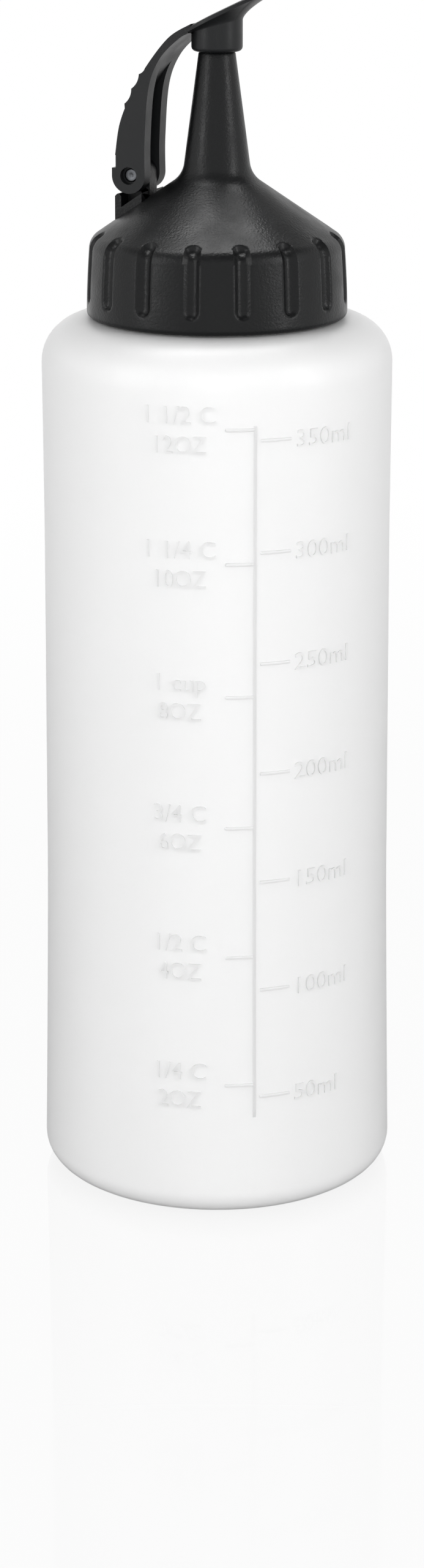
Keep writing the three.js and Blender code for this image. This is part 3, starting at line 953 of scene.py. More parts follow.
def joined(name: str, pieces: Sequence[bpy.types.Object]) -> bpy.types.Object:
    """Puts several pieces of one finish into one object.

    Args:
        name: The new object's name.
        pieces: The pieces, which are used up.

    Returns:
        The object.
    """
    work = bmesh.new()
    for piece in pieces:
        work.from_mesh(piece.data)
    mesh = bpy.data.meshes.new(name)
    work.to_mesh(mesh)
    work.free()
    mesh.materials.append(pieces[0].data.materials[0])
    for piece in pieces:
        bpy.data.objects.remove(piece)
    whole = bpy.data.objects.new(name, mesh)
    bpy.context.scene.collection.objects.link(whole)
    return whole


@dataclass
class Bottle:
    """The blown bottle with its neck, screw thread and raised measuring scale."""

    wall: BottleWall = field(default_factory=BottleWall)
    neck_radius: float = 19.2
    neck_wall: float = 1.3
    neck_height: float = 11.1
    neck_edge: float = 0.4
    neck_fillet: float = 0.8
    thread_height: float = 1.0
    thread_turns: float = 1.25
    thread_start: float = 3.4
    pinch_length: float = 34.0
    pinch_width: float = 0.7
    pinch_height: float = 0.35
    pinch_sunk: float = 0.3
    bar: ScaleBar = field(default_factory=ScaleBar)
    line_angle: float = -55.4
    line_relief: float = 0.05
    line_start: float = 18.0
    line_end: float = 138.0
    ounces: TickRow = field(default_factory=lambda: TickRow(23.9, 22.7, 6, -64.9, -55.8))
    millilitres: TickRow = field(default_factory=lambda: TickRow(21.7, 18.97, 7, -53.6, -43.4))
    cup_words: tuple[str, ...] = ("1/4 C", "1/2 C", "3/4 C", "1 cup", "1 1/4 C", "1 1/2 C")
    word_rise: float = 2.5
    cup_numerals: Numerals = field(default_factory=lambda: Numerals(-79.8, Align.CENTRE, 3.1, squeeze=0.975))
    ounce_numerals: Numerals = field(default_factory=lambda: Numerals(-79.8, Align.CENTRE, 3.1, squeeze=0.89))
    millilitre_numerals: Numerals = field(
        default_factory=lambda: Numerals(-42.0, Align.LEFT, 3.0, squeeze=1.13))

    def make_body(self, material: bpy.types.Material) -> bpy.types.Object:
        """Turns the hollow wall, from the push-up base to the neck's rim.

        Args:
            material: Its finish.

        Returns:
            The body.
        """
        wall = self.wall
        rim = wall.body_height + self.neck_height
        bore = self.neck_radius - self.neck_wall
        edge = self.neck_edge
        fillet = self.neck_fillet
        profile = [
            *wall.base_section(0.0),
            *wall.section(0.0),
            *arc_points((self.neck_radius + fillet, wall.body_height + fillet), fillet,
                        -math.pi / 2, -math.pi, 5),
            *arc_points((self.neck_radius - edge, rim - edge), edge, 0.0, math.pi / 2, 4),
            *arc_points((bore + edge, rim - edge), edge, math.pi / 2, math.pi, 4),
            (bore, wall.body_height - wall.wall),
            *reversed(wall.section(wall.wall)),
            *reversed(wall.base_section(wall.wall)),
        ]
        body = make_piece("bottle_body", [revolve(profile), self.pinch_ridge()], material)
        smooth(body, 40.0)
        return body

    def pinch_ridge(self) -> Shape:
        """The ridge under the base where the mould pinched the tube shut, along X.

        Returns:
            Vertices and faces of the ridge.
        """
        wall = self.wall
        inner = wall.foot_radius - wall.foot_round - wall.foot_ring_width
        steps = 16
        rings = []
        for i in range(steps + 1):
            x = self.pinch_length * (i / steps - 0.5)
            base = wall.push_up * (1 - (x / inner) ** 2)
            top = base + self.pinch_sunk
            low = base - self.pinch_height * min(1.0, 4 * i / steps, 4 * (1 - i / steps))
            half = self.pinch_width / 2
            rings.append([(x, -half, top), (x, half, top), (x, half * 0.5, low), (x, -half * 0.5, low)])
        return loft(rings)

    def make_thread(self, material: bpy.types.Material) -> bpy.types.Object:
        """The screw ridge round the neck.

        Args:
            material: Its finish.

        Returns:
            The ridge.
        """
        ridge = ThreadRidge(self.neck_radius, self.neck_radius + self.thread_height, self.thread_turns,
                            0.0, self.wall.body_height + self.thread_start)
        return ridge.build("neck_thread", material)

    def make_upright_line(self, material: bpy.types.Material) -> bpy.types.Object:
        """The long upright line between the two rows of marks.

        Args:
            material: Its finish.

        Returns:
            The line, laid on the wall.
        """
        length = self.line_end - self.line_start
        steps = 60
        rings = []
        for i in range(steps + 1):
            y = self.line_start + length * i / steps
            half, deep = self.bar.width / 2, (self.line_relief + self.bar.sunk) / 2
            rings.append([(-half, y, -deep), (half, y, -deep), (half, y, deep), (-half, y, deep)])
        line = make_piece("line", [loft(rings)], material)
        round_edges(line, self.line_relief / 2)
        self.wall.wrap(line, math.radians(self.line_angle), (self.line_relief - self.bar.sunk) / 2)
        return line

    def make_scale(self, material: bpy.types.Material) -> list[bpy.types.Object]:
        """The raised line and marks, and the numerals beside them.

        Args:
            material: Their finish.

        Returns:
            The marks and the numerals.
        """
        marks = joined("scale_marks", [
            self.make_upright_line(material),
            self.ounces.build("ounce_marks", self.wall, self.bar, material),
            self.millilitres.build("millilitre_marks", self.wall, self.bar, material),
        ])
        lines = []
        for i, words in enumerate(self.cup_words):
            middle = self.ounces.first + i * self.ounces.step
            above, below = middle + self.word_rise, middle - self.word_rise
            lines.append(self.cup_numerals.build(words, above, self.wall, material))
            lines.append(self.ounce_numerals.build(f"{2 * i + 2}OZ", below, self.wall, material))
        for i in range(self.millilitres.count):
            middle = self.millilitres.first + i * self.millilitres.step
            lines.append(self.millilitre_numerals.build(f"{50 * (i + 1)}ml", middle, self.wall, material))
        numerals = joined("scale_numerals", lines)
        for piece in (marks, numerals):
            smooth(piece)
        return [marks, numerals]

    def build(self, finish: BlownPolyethylene) -> None:
        """Builds the bottle and hands its pieces to the frame.

        Args:
            finish: The bottle's plastic.
        """
        material = finish.material()
        dress(self.make_body(material), "bottle", "bottle", "bottle")
        dress(self.make_thread(material), "bottle", "bottle")
        for piece in self.make_scale(material):
            dress(piece, "bottle", "bottle")


# Screw cap

@dataclass
class ScrewCap:
    """The screw cap: a fluted skirt, a cone and a tapered spout, with its thread and sealing ring."""

    bottom: float = 151.5
    foot_radius: float = 22.3
    top_radius: float = 21.85
    skirt_height: float = 11.55
    skirt_curve: float = 1.7
    edge: float = 0.9
    lead_in: float = 0.5
    bore: float = 20.4
    shoulder_round: float = 3.0
    cone_angle: float = math.radians(34.5)
    wall: float = 1.6
    land_inner: float = 16.0
    land_height: float = 163.9
    spout_foot: float = 5.87
    spout_tip: float = 3.1
    spout_height: float = 21.0
    spout_fillet: float = 4.5
    chamfer_height: float = 1.1
    tip_top: float = 1.5
    tip_rounding: float = 0.35
    orifice: float = 0.9
    orifice_length: float = 1.6
    orifice_edge: float = 0.12
    flutes: int = 16
    flute_radius: float = 1.5
    flute_depth: float = 0.9
    flute_bottom: float = 2.5
    flute_soft: float = 0.03
    columns_per_flute: int = 28
    cone_row_step: float = 0.22
    thread_height: float = 1.0
    thread_turns: float = 1.0
    thread_lag: float = 0.5
    thread_base: float = 153.05
    gasket_inner: float = 16.3
    gasket_outer: float = 20.1
    gasket_low: float = 162.6
    gasket_thick: float = 1.0
    gasket_edge: float = 0.2

    def __post_init__(self) -> None:
        """Works out where the shoulder ends and the cone starts."""
        self.shoulder_base = self.bottom + self.skirt_height
        self.shoulder_turn = math.pi / 2 - self.cone_angle
        self.cone_radius = self.top_radius - self.shoulder_round * (1 - math.cos(self.shoulder_turn))
        self.cone_height = self.shoulder_base + self.shoulder_round * math.sin(self.shoulder_turn)
        self.spout_foot_height = self.cone_at(self.spout_foot)
        self.tip_shoulder = self.spout_foot_height + self.spout_height
        self.tip_height = self.tip_shoulder + self.chamfer_height

    def cone_at(self, radius: float) -> float:
        """Height of the outer cone at a distance from the axis."""
        return self.cone_height + (self.cone_radius - radius) * math.tan(self.cone_angle)

    def skirt_radius(self, height: float) -> float:
        """Radius of the skirt's outer face at a height.

        Args:
            height: Height over the table.

        Returns:
            The radius.
        """
        low = self.bottom + self.edge
        share = (height - low) / (self.shoulder_base - low)
        return self.foot_radius - (self.foot_radius - self.top_radius) * max(share, 0.0) ** self.skirt_curve

    def spout_section(self, depth: float, top: float, steps: int) -> list[Point]:
        """The fillet and the straight taper of the spout, at a depth under the surface.

        Args:
            depth: 0 for the outside, the wall's thickness for the bore.
            top: Height where the taper ends.
            steps: Straight pieces of each of the two.

        Returns:
            Points of (radius, height), from the cone up.
        """
        taper = math.atan2(self.spout_foot - self.spout_tip, self.spout_height)
        turn = math.pi / 2 - self.cone_angle - taper
        reach = self.spout_fillet * math.tan(turn / 2)
        cos, sin = math.cos(self.cone_angle), math.sin(self.cone_angle)
        centre = (self.spout_foot + reach * cos + self.spout_fillet * sin,
                  self.spout_foot_height - reach * sin + self.spout_fillet * cos)
        points = arc_points(centre, self.spout_fillet + depth, -math.pi / 2 - self.cone_angle,
                            -math.pi + taper, steps)
        last = points[-1]
        points += line_points(last, (last[0] - (top - last[1]) * math.tan(taper), top), steps)
        return points

    def fluted_rows(self) -> list[tuple[Point, Point, float]]:
        """Rows of the outside that the flutes may reach.

        Returns:
            For each row its point, its outward direction and how far it lies beyond the flutes' ends.
        """
        start = self.bottom + self.flute_bottom + self.flute_radius
        rows = []
        skirt_steps = 42
        low = self.bottom + self.edge
        for i in range(skirt_steps + 1):
            height = low + (self.shoulder_base - low) * i / skirt_steps
            rows.append(((self.skirt_radius(height), height), (1.0, 0.0), max(0.0, start - height)))
        centre = (self.top_radius - self.shoulder_round, self.shoulder_base)
        for i in range(1, 15):
            turn = self.shoulder_turn * i / 14
            way = (math.cos(turn), math.sin(turn))
            place = (centre[0] + self.shoulder_round * way[0], centre[1] + self.shoulder_round * way[1])
            rows.append((place, way, 0.0))
        way = (math.sin(self.cone_angle), math.cos(self.cone_angle))
        for i in range(1, 9):
            beyond = self.cone_row_step * i
            place = (self.cone_radius - beyond * way[1], self.cone_height + beyond * way[0])
            rows.append((place, way, beyond))
        return rows

    def flute_cut(self, sideways: float, beyond: float) -> float:
        """Depth of the nearest flute at a distance from its middle line and beyond its end.

        Args:
            sideways: Distance from the flute's middle line.
            beyond: Distance beyond the flute's end.

        Returns:
            The depth, which fades softly at the flute's lip.
        """
        outwards = self.flute_radius - self.flute_depth
        off = math.hypot(sideways, beyond)
        if off < self.flute_radius:
            raw = math.sqrt(self.flute_radius ** 2 - off ** 2) - outwards
        else:
            raw = -outwards - (off - self.flute_radius)
        return (raw + math.sqrt(raw * raw + self.flute_soft ** 2)) / 2

    def make_shell(self, material: bpy.types.Material) -> bpy.types.Object:
        """The cap's moulding as one closed skin, with the flutes pressed into its outside.

        Args:
            material: Its finish.

        Returns:
            The moulding.
        """
        lower = arc_points((self.foot_radius - self.edge, self.bottom + self.edge), self.edge,
                           -math.pi / 2, 0.0, 7)[:-1]
        fluted = self.fluted_rows()
        tip = self.tip_rounding
        upper = [
            *self.spout_section(0.0, self.tip_shoulder - tip, 14),
            *line_points((self.spout_tip - 0.08, self.tip_shoulder + 0.05),
                         (self.tip_top + tip, self.tip_height - tip * 0.7), 3),
            (self.tip_top + tip * 0.3, self.tip_height - tip * 0.15),
            (self.tip_top - tip * 0.3, self.tip_height),
            (self.orifice + self.orifice_edge, self.tip_height),
            (self.orifice, self.tip_height - self.orifice_edge),
            (self.orifice, self.tip_height - self.orifice_length),
            *reversed(self.spout_section(self.wall, self.tip_height - self.orifice_length - self.wall, 8)),
            (self.land_inner, self.cone_at(self.land_inner) - self.wall / math.cos(self.cone_angle)),
            (self.land_inner, self.land_height),
            (self.bore, self.land_height),
            (self.bore, self.bottom + self.lead_in),
            (self.bore + self.lead_in, self.bottom),
        ]
        columns = self.flutes * self.columns_per_flute
        vertices, faces = revolve([*lower, *(row[0] for row in fluted), *upper], columns)
        pitch = 2 * math.pi / self.flutes
        for k, (place, way, beyond) in enumerate(fluted):
            for i in range(columns):
                angle = 2 * math.pi * i / columns
                off = (angle / pitch) % 1 - 0.5
                cut = self.flute_cut(place[0] * math.sin(off * pitch), beyond)
                radius, height = place[0] - way[0] * cut, place[1] - way[1] * cut
                vertices[(len(lower) + k) * columns + i] = (
                    radius * math.cos(angle), radius * math.sin(angle), height)
        shell = make_piece("cap_shell", [(vertices, faces)], material)
        smooth(shell, 42.0)
        return shell

    def make_thread(self, material: bpy.types.Material) -> bpy.types.Object:
        """The screw ridge inside the skirt, just under the neck's.

        Args:
            material: Its finish.

        Returns:
            The ridge.
        """
        lift = self.thread_lag / (2 * math.pi) * THREAD_LEAD
        ridge = ThreadRidge(self.bore, self.bore - self.thread_height, self.thread_turns, self.thread_lag,
                            self.thread_base + lift)
        return ridge.build("cap_thread", material)

    def make_gasket(self, material: bpy.types.Material) -> bpy.types.Object:
        """The flat sealing ring between the neck's rim and the cap.

        Args:
            material: Its finish.

        Returns:
            The ring.
        """
        low, high = self.gasket_low, self.gasket_low + self.gasket_thick
        soft = self.gasket_edge
        profile = [
            *arc_points((self.gasket_inner + soft, low + soft), soft, math.pi, 1.5 * math.pi, 3),
            *arc_points((self.gasket_outer - soft, low + soft), soft, 1.5 * math.pi, 2 * math.pi, 3),
            *arc_points((self.gasket_outer - soft, high - soft), soft, 0.0, math.pi / 2, 3),
            *arc_points((self.gasket_inner + soft, high - soft), soft, math.pi / 2, math.pi, 3),
        ]
        ring = make_piece("gasket_ring", [revolve(profile)], material)
        smooth(ring, 50.0)
        return ring

    def build(self, finish: MouldedPlastic, seal_finish: SoftSilicone) -> None:
        """Builds the cap and its sealing ring and hands them to the frame.

        Args:
            finish: The cap's plastic.
            seal_finish: The ring's silicone.
        """
        material = finish.material()
        dress(self.make_shell(material), "cap", "cap", "screw_cap")
        dress(self.make_thread(material), "cap", "cap")
        dress(self.make_gasket(seal_finish.material()), "gasket", "gasket", "neck_gasket")


# Hinge

@dataclass
class Hinge:
    """The bracket on the cone and the steel pin through it."""

    cap: ScrewCap
    pin_x: float
    pin_z: float
    pin_radius: float = 1.05
    pin_length: float = 6.6
    pin_dimple: float = 0.2
    pin_edge: float = 0.12
    pin_fit: float = 0.1
    ear_thickness: float = 3.2
    ear_radius: float = 2.7
    post_width: float = 9.4
    post_thickness: float = 1.2
    post_offset: float = 2.44
    post_top_drop: float = 3.1
    post_chamfer: float = 0.4
    pad_rise: float = 1.0
    pad_length: float = 5.0
    rounding: float = 0.22

    def make_bracket(self, material: bpy.types.Material) -> bpy.types.Object:
        """The back post, the sloping pad and the ear round the pin, in one moulding.

        Args:
            material: Its finish.

        Returns:
            The bracket.
        """
        cap = self.cap
        sunk = cap.wall / math.cos(cap.cone_angle) - 0.6 * cap.wall
        outer = self.pin_x - self.post_offset
        inner = outer + self.post_thickness
        top = self.pin_z - self.post_top_drop
        chamfer = self.post_chamfer
        end = outer + self.pad_length

        def under(x: float) -> float:
            """Height of the bracket's root inside the cone's wall."""
            return cap.cone_at(-x) - sunk

        post = plate([
            (outer, under(outer)),
            (inner, under(inner)),
            (inner, top - chamfer),
            (inner - chamfer, top),
            (outer + chamfer, top),
            (outer, top - chamfer),
        ], self.post_width)
        pad = plate([
            (outer, under(outer)),
            (end, under(end)),
            (end, cap.cone_at(-end) + self.pad_rise),
            (outer, cap.cone_at(-outer) + self.pad_rise),
        ], self.post_width)
        reach = self.pin_x + self.ear_radius
        ear = plate([
            (inner - self.post_thickness / 2, under(inner)),
            (reach, under(reach)),
            *arc_points((self.pin_x, self.pin_z), self.ear_radius, 0.0, math.pi * 1.1, 40),
        ], self.ear_thickness)
        bracket = make_piece("hinge_bracket", [post], material)
        work_on(bracket, Joining.ADD, [pad, ear])
        work_on(bracket, Joining.CUT, [
            cross_bar(self.pin_x, self.pin_z, self.pin_radius + self.pin_fit, self.ear_thickness * 2),
        ])
        round_edges(bracket, self.rounding)
        even_shading(bracket)
        return bracket

    def make_pin(self, material: bpy.types.Material) -> bpy.types.Object:
        """The pin, with a centre mark punched in both ends.

        Args:
            material: Its finish.

        Returns:
            The pin.
        """
        half = self.pin_length / 2
        soft = self.pin_edge
        radius = self.pin_radius
        profile = [
            (0.0, -half + self.pin_dimple),
            *line_points((0.0, -half + self.pin_dimple), (radius * 0.5, -half), 3),
            *arc_points((radius - soft, -half + soft), soft, -math.pi / 2, 0.0, 4),
            *arc_points((radius - soft, half - soft), soft, 0.0, math.pi / 2, 4),
            (radius * 0.5, half),
            (0.0, half - self.pin_dimple),
        ]
        vertices, faces = revolve(profile, SMALL_COUNT)
        laid = [(self.pin_x + x, z, self.pin_z + y) for x, y, z in vertices]
        pin = make_piece("pin", [(laid, faces)], material)
        smooth(pin, 40.0)
        return pin

    def build(self, finish: MouldedPlastic, steel: DrawnSteel) -> None:
        """Builds the bracket and the pin and hands them to the frame."""
        dress(self.make_bracket(finish.material()), "cap", "cap")
        dress(self.make_pin(steel.material()), "cap", "pin", "hinge_pin")


# Lever

@dataclass
class FlipLever:
    """The flip-up lever: two side plates with a web, a cup over the spout's tip and a thumb leaf."""

    cap: ScrewCap
    pin_x: float
    pin_z: float
    width: float = 9.0
    end_radius: float = 3.05
    heel_height: float = 1.3
    heel_setback: float = 0.7
    web_offset: float = 2.44
    window_top: float = 3.5
    web: float = 1.3
    pin_hole: float = 1.2
    recess_radius: float = 1.5
    recess_depth: float = 1.2
    teeth: int = 3
    tooth_pitch: float = 2.87
    tooth_height: float = 0.38
    tooth_start: float = 9.0
    slot_width: float = 3.8
    slot_share: float = 0.86
    cup_radius: float = 4.35
    cup_bore: float = 3.5
    cup_edge: float = 0.8
    ceiling_above_tip: float = 1.8
    seal_above_tip: float = 0.3
    seal_thick: float = 1.2
    seal_gap: float = 0.3
    seal_edge: float = 0.15
    seal_dish: float = 0.12
    seal_lip: float = 0.1
    leaf_angle: float = math.radians(26.3)
    crown_height: float = 6.2
    rim: float = 0.9
    rim_round: float = 0.28
    dish_width: float = 2.4
    leaf_back: float = 4.7
    leaf_front: float = 11.3
    half_width: float = 5.4
    tip_half_width: float = 3.2
    flare_low: float = 3.0
    flare_curve: float = 1.5
    flare_rise: float = 2.4
    rounding: float = 0.25

    def __post_init__(self) -> None:
        """Works out the heights that follow from the spout's tip."""
        self.cup_bottom = self.cap.tip_shoulder
        self.ceiling = self.cap.tip_height + self.ceiling_above_tip
        self.leaf_top = self.cup_bottom + self.crown_height

    def arm_place(self, across: float, up: float) -> Point:
        """A place by shares of the way from the pin to the axis and up to the cup's lower edge."""
        return (self.pin_x * (1 - across), self.pin_z + (self.cup_bottom - self.pin_z) * up)

    def outer_edge(self) -> EdgeCurve:
        """The arm's outer edge without its teeth, from the web's lower end up to the leaf.

        Returns:
            The edge.
        """
        return EdgeCurve([
            (self.pin_x - self.web_offset, self.pin_z + self.window_top),
            self.arm_place(-0.107, 0.416),
            self.arm_place(0.04, 0.654),
            self.arm_place(0.235, 0.879),
            self.arm_place(0.519, 1.112),
            self.arm_place(0.798, 1.224),
        ])

    def inner_edge(self) -> EdgeCurve:
        """The arm's inner edge, from the cup down to the round end.

        Returns:
            The edge.
        """
        return EdgeCurve([
            self.arm_place(0.763, 1.15),
            self.arm_place(0.634, 1.098),
            self.arm_place(0.403, 0.939),
            self.arm_place(0.261, 0.701),
            (self.pin_x + self.end_radius, self.arm_place(0.0, 0.28)[1]),
            (self.pin_x + self.end_radius, self.pin_z),
        ])

    def toothed_edge(self, edge: EdgeCurve) -> list[Point]:
        """The outer edge with its grip teeth: sharp tips, with a scoop between each two.

        Args:
            edge: The edge without teeth.

        Returns:
            Its points, from the web's lower end up.
        """
        pitch = self.tooth_pitch
        tips = [edge.at(self.tooth_start + i * pitch, self.tooth_height) for i in range(self.teeth)]
        end = self.tooth_start + self.teeth * pitch - pitch / 2
        tips.append(edge.at(end))
        points = edge.part(0.0, self.tooth_start - pitch / 4, 16)
        for i in range(self.teeth):
            reach = pitch / 2 if i < self.teeth - 1 else pitch / 4
            floor = edge.at(self.tooth_start + i * pitch + reach)
            first, last = tips[i], tips[i + 1]
            bend = tuple(2 * floor[k] - (first[k] + last[k]) / 2 for k in (0, 1))
            for step in range(10):
                s = step / 10
                points.append(tuple((1 - s) ** 2 * first[k] + 2 * s * (1 - s) * bend[k] + s * s * last[k]
                                    for k in (0, 1)))
        return points + edge.part(end, edge.length, 22)

    def make_arm(self, material: bpy.types.Material) -> bpy.types.Object:
        """The two side plates and the web that joins them, with the pin's holes.

        Args:
            material: Its finish.

        Returns:
            The arm, without its cup and leaf.
        """
        edge = self.outer_edge()
        inner = self.inner_edge()
        heel = self.pin_x - self.end_radius
        outline = [
            *inner.part(0.0, inner.length, 60)[:-1],
            *arc_points((self.pin_x, self.pin_z), self.end_radius, 0.0, -math.pi, 40),
            (heel, self.pin_z + self.heel_height),
            (heel + self.heel_setback, self.pin_z + self.heel_height),
            (heel + self.heel_setback, self.pin_z + self.window_top),
            *self.toothed_edge(edge),
        ]
        arm = make_piece("lever_arm", [plate(outline, self.width)], material)
        side = edge.part(0.0, edge.length * self.slot_share, 30, -self.web)
        left = self.pin_x - 2 * self.end_radius
        right = -self.cup_radius - 0.3
        low = self.pin_z - 2 * self.end_radius
        slot = [
            (left, low),
            (left, self.pin_z + self.window_top),
            *side,
            (right, side[-1][1] - 0.3),
            (right, low),
        ]
        half = self.width / 2
        work_on(arm, Joining.CUT, [
            plate(slot, self.slot_width),
            cross_bar(self.pin_x, self.pin_z, self.pin_hole, self.width * 2),
            cross_bar(self.pin_x, self.pin_z, self.recess_radius, self.recess_depth * 2, half),
            cross_bar(self.pin_x, self.pin_z, self.recess_radius, self.recess_depth * 2, -half),
        ])
        round_edges(arm, self.rounding)
        return arm

    def make_cup(self) -> Shape:
        """The cup's outside, closed at its top inside the leaf's flare.

        Returns:
            Vertices and faces.
        """
        edge = self.cup_edge
        return revolve([
            (0.0, self.cup_bottom),
            *arc_points((self.cup_radius - edge, self.cup_bottom + edge), edge, -math.pi / 2, 0.0, 8),
            (self.cup_radius, self.cup_bottom + self.flare_low),
            (self.cup_radius * 0.9, self.ceiling),
            (0.0, self.ceiling + 0.3),
        ], SMALL_COUNT * 2)

    def leaf_place(self, along: float, across: float, below: float) -> Triple:
        """A point on or under the leaf's top: along its slope, across it and below it.

        Args:
            along: Distance from the axis, up the slope.
            across: Distance to the side.
            below: Depth square to the slope.

        Returns:
            The point.
        """
        cos, sin = math.cos(self.leaf_angle), math.sin(self.leaf_angle)
        return (along * cos + below * sin, across, self.leaf_top + along * sin - below * cos)

    def leaf_outline(self, margin: float) -> list[Point]:
        """The leaf's outline seen square on, pulled in by a margin.

        Args:
            margin: How far it lies inside the rim.

        Returns:
            Points of (along, across), right round.
        """
        tip = self.leaf_front - self.tip_half_width
        front = self.leaf_front - margin
        side = EdgeCurve([
            (-self.leaf_back + margin * 0.4, self.width / 2 - margin),
            (0.0, self.half_width - margin),
            (self.leaf_front / 2, (self.half_width + self.tip_half_width) / 2 + 0.3 - margin),
            (tip, self.tip_half_width - margin),
        ])
        nose = arc_points((0.0, 0.0), 1.0, math.pi / 2, 0.0, 12)[1:]
        half = side.part(0.0, side.length, 24)
        half += [(tip + x * (front - tip), y * (self.tip_half_width - margin)) for x, y in nose]
        return half + [(x, -y) for x, y in reversed(half[:-1])]

    def make_leaf(self) -> Shape:
        """The thumb leaf, with the flare under it that opens from the cup to the leaf's rim.

        Returns:
            Vertices and faces.
        """
        outline = self.leaf_outline(0.0)
        lower = [self.leaf_place(x, y, self.rim) for x, y in outline]
        root = []
        for x, y in outline:
            angle = math.atan2(y, x)
            height = self.cup_bottom + self.flare_low + self.flare_rise * (1 + math.cos(angle)) / 2
            root.append((self.cup_radius * math.cos(angle), self.cup_radius * math.sin(angle), height))
        stem_height = self.cup_bottom + self.flare_low - self.cup_edge
        rings = [[(x, y, stem_height) for x, y, _ in root]]
        steps = 14
        for i in range(steps + 1):
            share = i / steps
            bent = share ** self.flare_curve
            rings.append([
                (a[0] + (b[0] - a[0]) * bent, a[1] + (b[1] - a[1]) * bent, a[2] + (b[2] - a[2]) * share)
                for a, b in zip(root, lower)
            ])
        soft = self.rim_round
        layers = [(soft * (1 - math.cos(t)), self.rim * 0.6 - soft * math.sin(t))
                  for t in (0.0, 0.4, 0.8, 1.2, math.pi / 2)]
        crest = layers[-1][1]
        spread = self.dish_width - soft
        layers += [(soft + spread * i / 8, crest * (1 - i / 8) ** 2) for i in range(1, 9)]
        for margin, below in layers:
            rings.append([self.leaf_place(x, y, below) for x, y in self.leaf_outline(margin)])
        return loft(rings)

    def make_lever(self, material: bpy.types.Material) -> bpy.types.Object:
        """The whole lever in one moulding.

        Args:
            material: Its finish.

        Returns:
            The lever.
        """
        lever = self.make_arm(material)
        work_on(lever, Joining.ADD, [self.make_cup(), self.make_leaf()])
        seat = revolve([
            (0.0, self.cup_bottom - 1.0),
            (self.cup_bore, self.cup_bottom - 1.0),
            (self.cup_bore, self.ceiling),
            (0.0, self.ceiling),
        ], SMALL_COUNT * 2)
        work_on(lever, Joining.CUT, [seat])
        face_outwards(lever)
        even_shading(lever)
        return lever

    def make_seal(self, material: bpy.types.Material) -> bpy.types.Object:
        """The soft pad in the cup, a little dished where it meets the spout's tip.

        Args:
            material: Its finish.

        Returns:
            The pad.
        """
        low = self.cap.tip_height + self.seal_above_tip
        high = low + self.seal_thick
        radius = self.cup_bore - self.seal_gap
        soft = self.seal_edge
        profile = [
            (0.0, low + self.seal_dish),
            (self.cap.tip_top, low + self.seal_lip),
            (self.cap.tip_top + 0.5, low),
            *arc_points((radius - soft, low + soft), soft, -math.pi / 2, 0.0, 3),
            *arc_points((radius - soft, high - soft), soft, 0.0, math.pi / 2, 3),
            (0.0, high),
        ]
        pad = make_piece("seal_pad", [revolve(profile, SMALL_COUNT)], material)
        smooth(pad, 50.0)
        return pad

    def build(self, finish: MouldedPlastic, seal_finish: SoftSilicone) -> None:
        """Builds the lever and its pad and hands them to the frame."""
        dress(self.make_lever(finish.material()), "lever", "lever", "lever")
        dress(self.make_seal(seal_finish.material()), "lever", "seal", "tip_seal")


# Studio

@dataclass(frozen=True)
class SoftBox:
    """A large area lamp that faces a point on the object.

    One that leaves no highlight only lights matt surfaces, as a lamp behind a polariser does, and a card
    that doesn't light matt surfaces is only seen in gloss.
    """

    name: str
    place: Triple
    size: Point
    power: float
    leaves_highlight: bool = True
    lights_matt: bool = True
    aim: Triple = (0.0, 0.0, 0.11)

    def build(self) -> None:
        """Hangs the lamp."""
        lamp = bpy.data.lights.new(self.name, "AREA")
        lamp.shape = "RECTANGLE"
        lamp.size, lamp.size_y = self.size
        lamp.energy = self.power
        holder = bpy.data.objects.new(self.name, lamp)
        holder.location = self.place
        away = Vector(self.place) - Vector(self.aim)
        holder.rotation_euler = away.to_track_quat("Z", "Y").to_euler()
        holder.visible_glossy = self.leaves_highlight
        holder.visible_diffuse = self.lights_matt
        bpy.context.scene.collection.objects.link(holder)


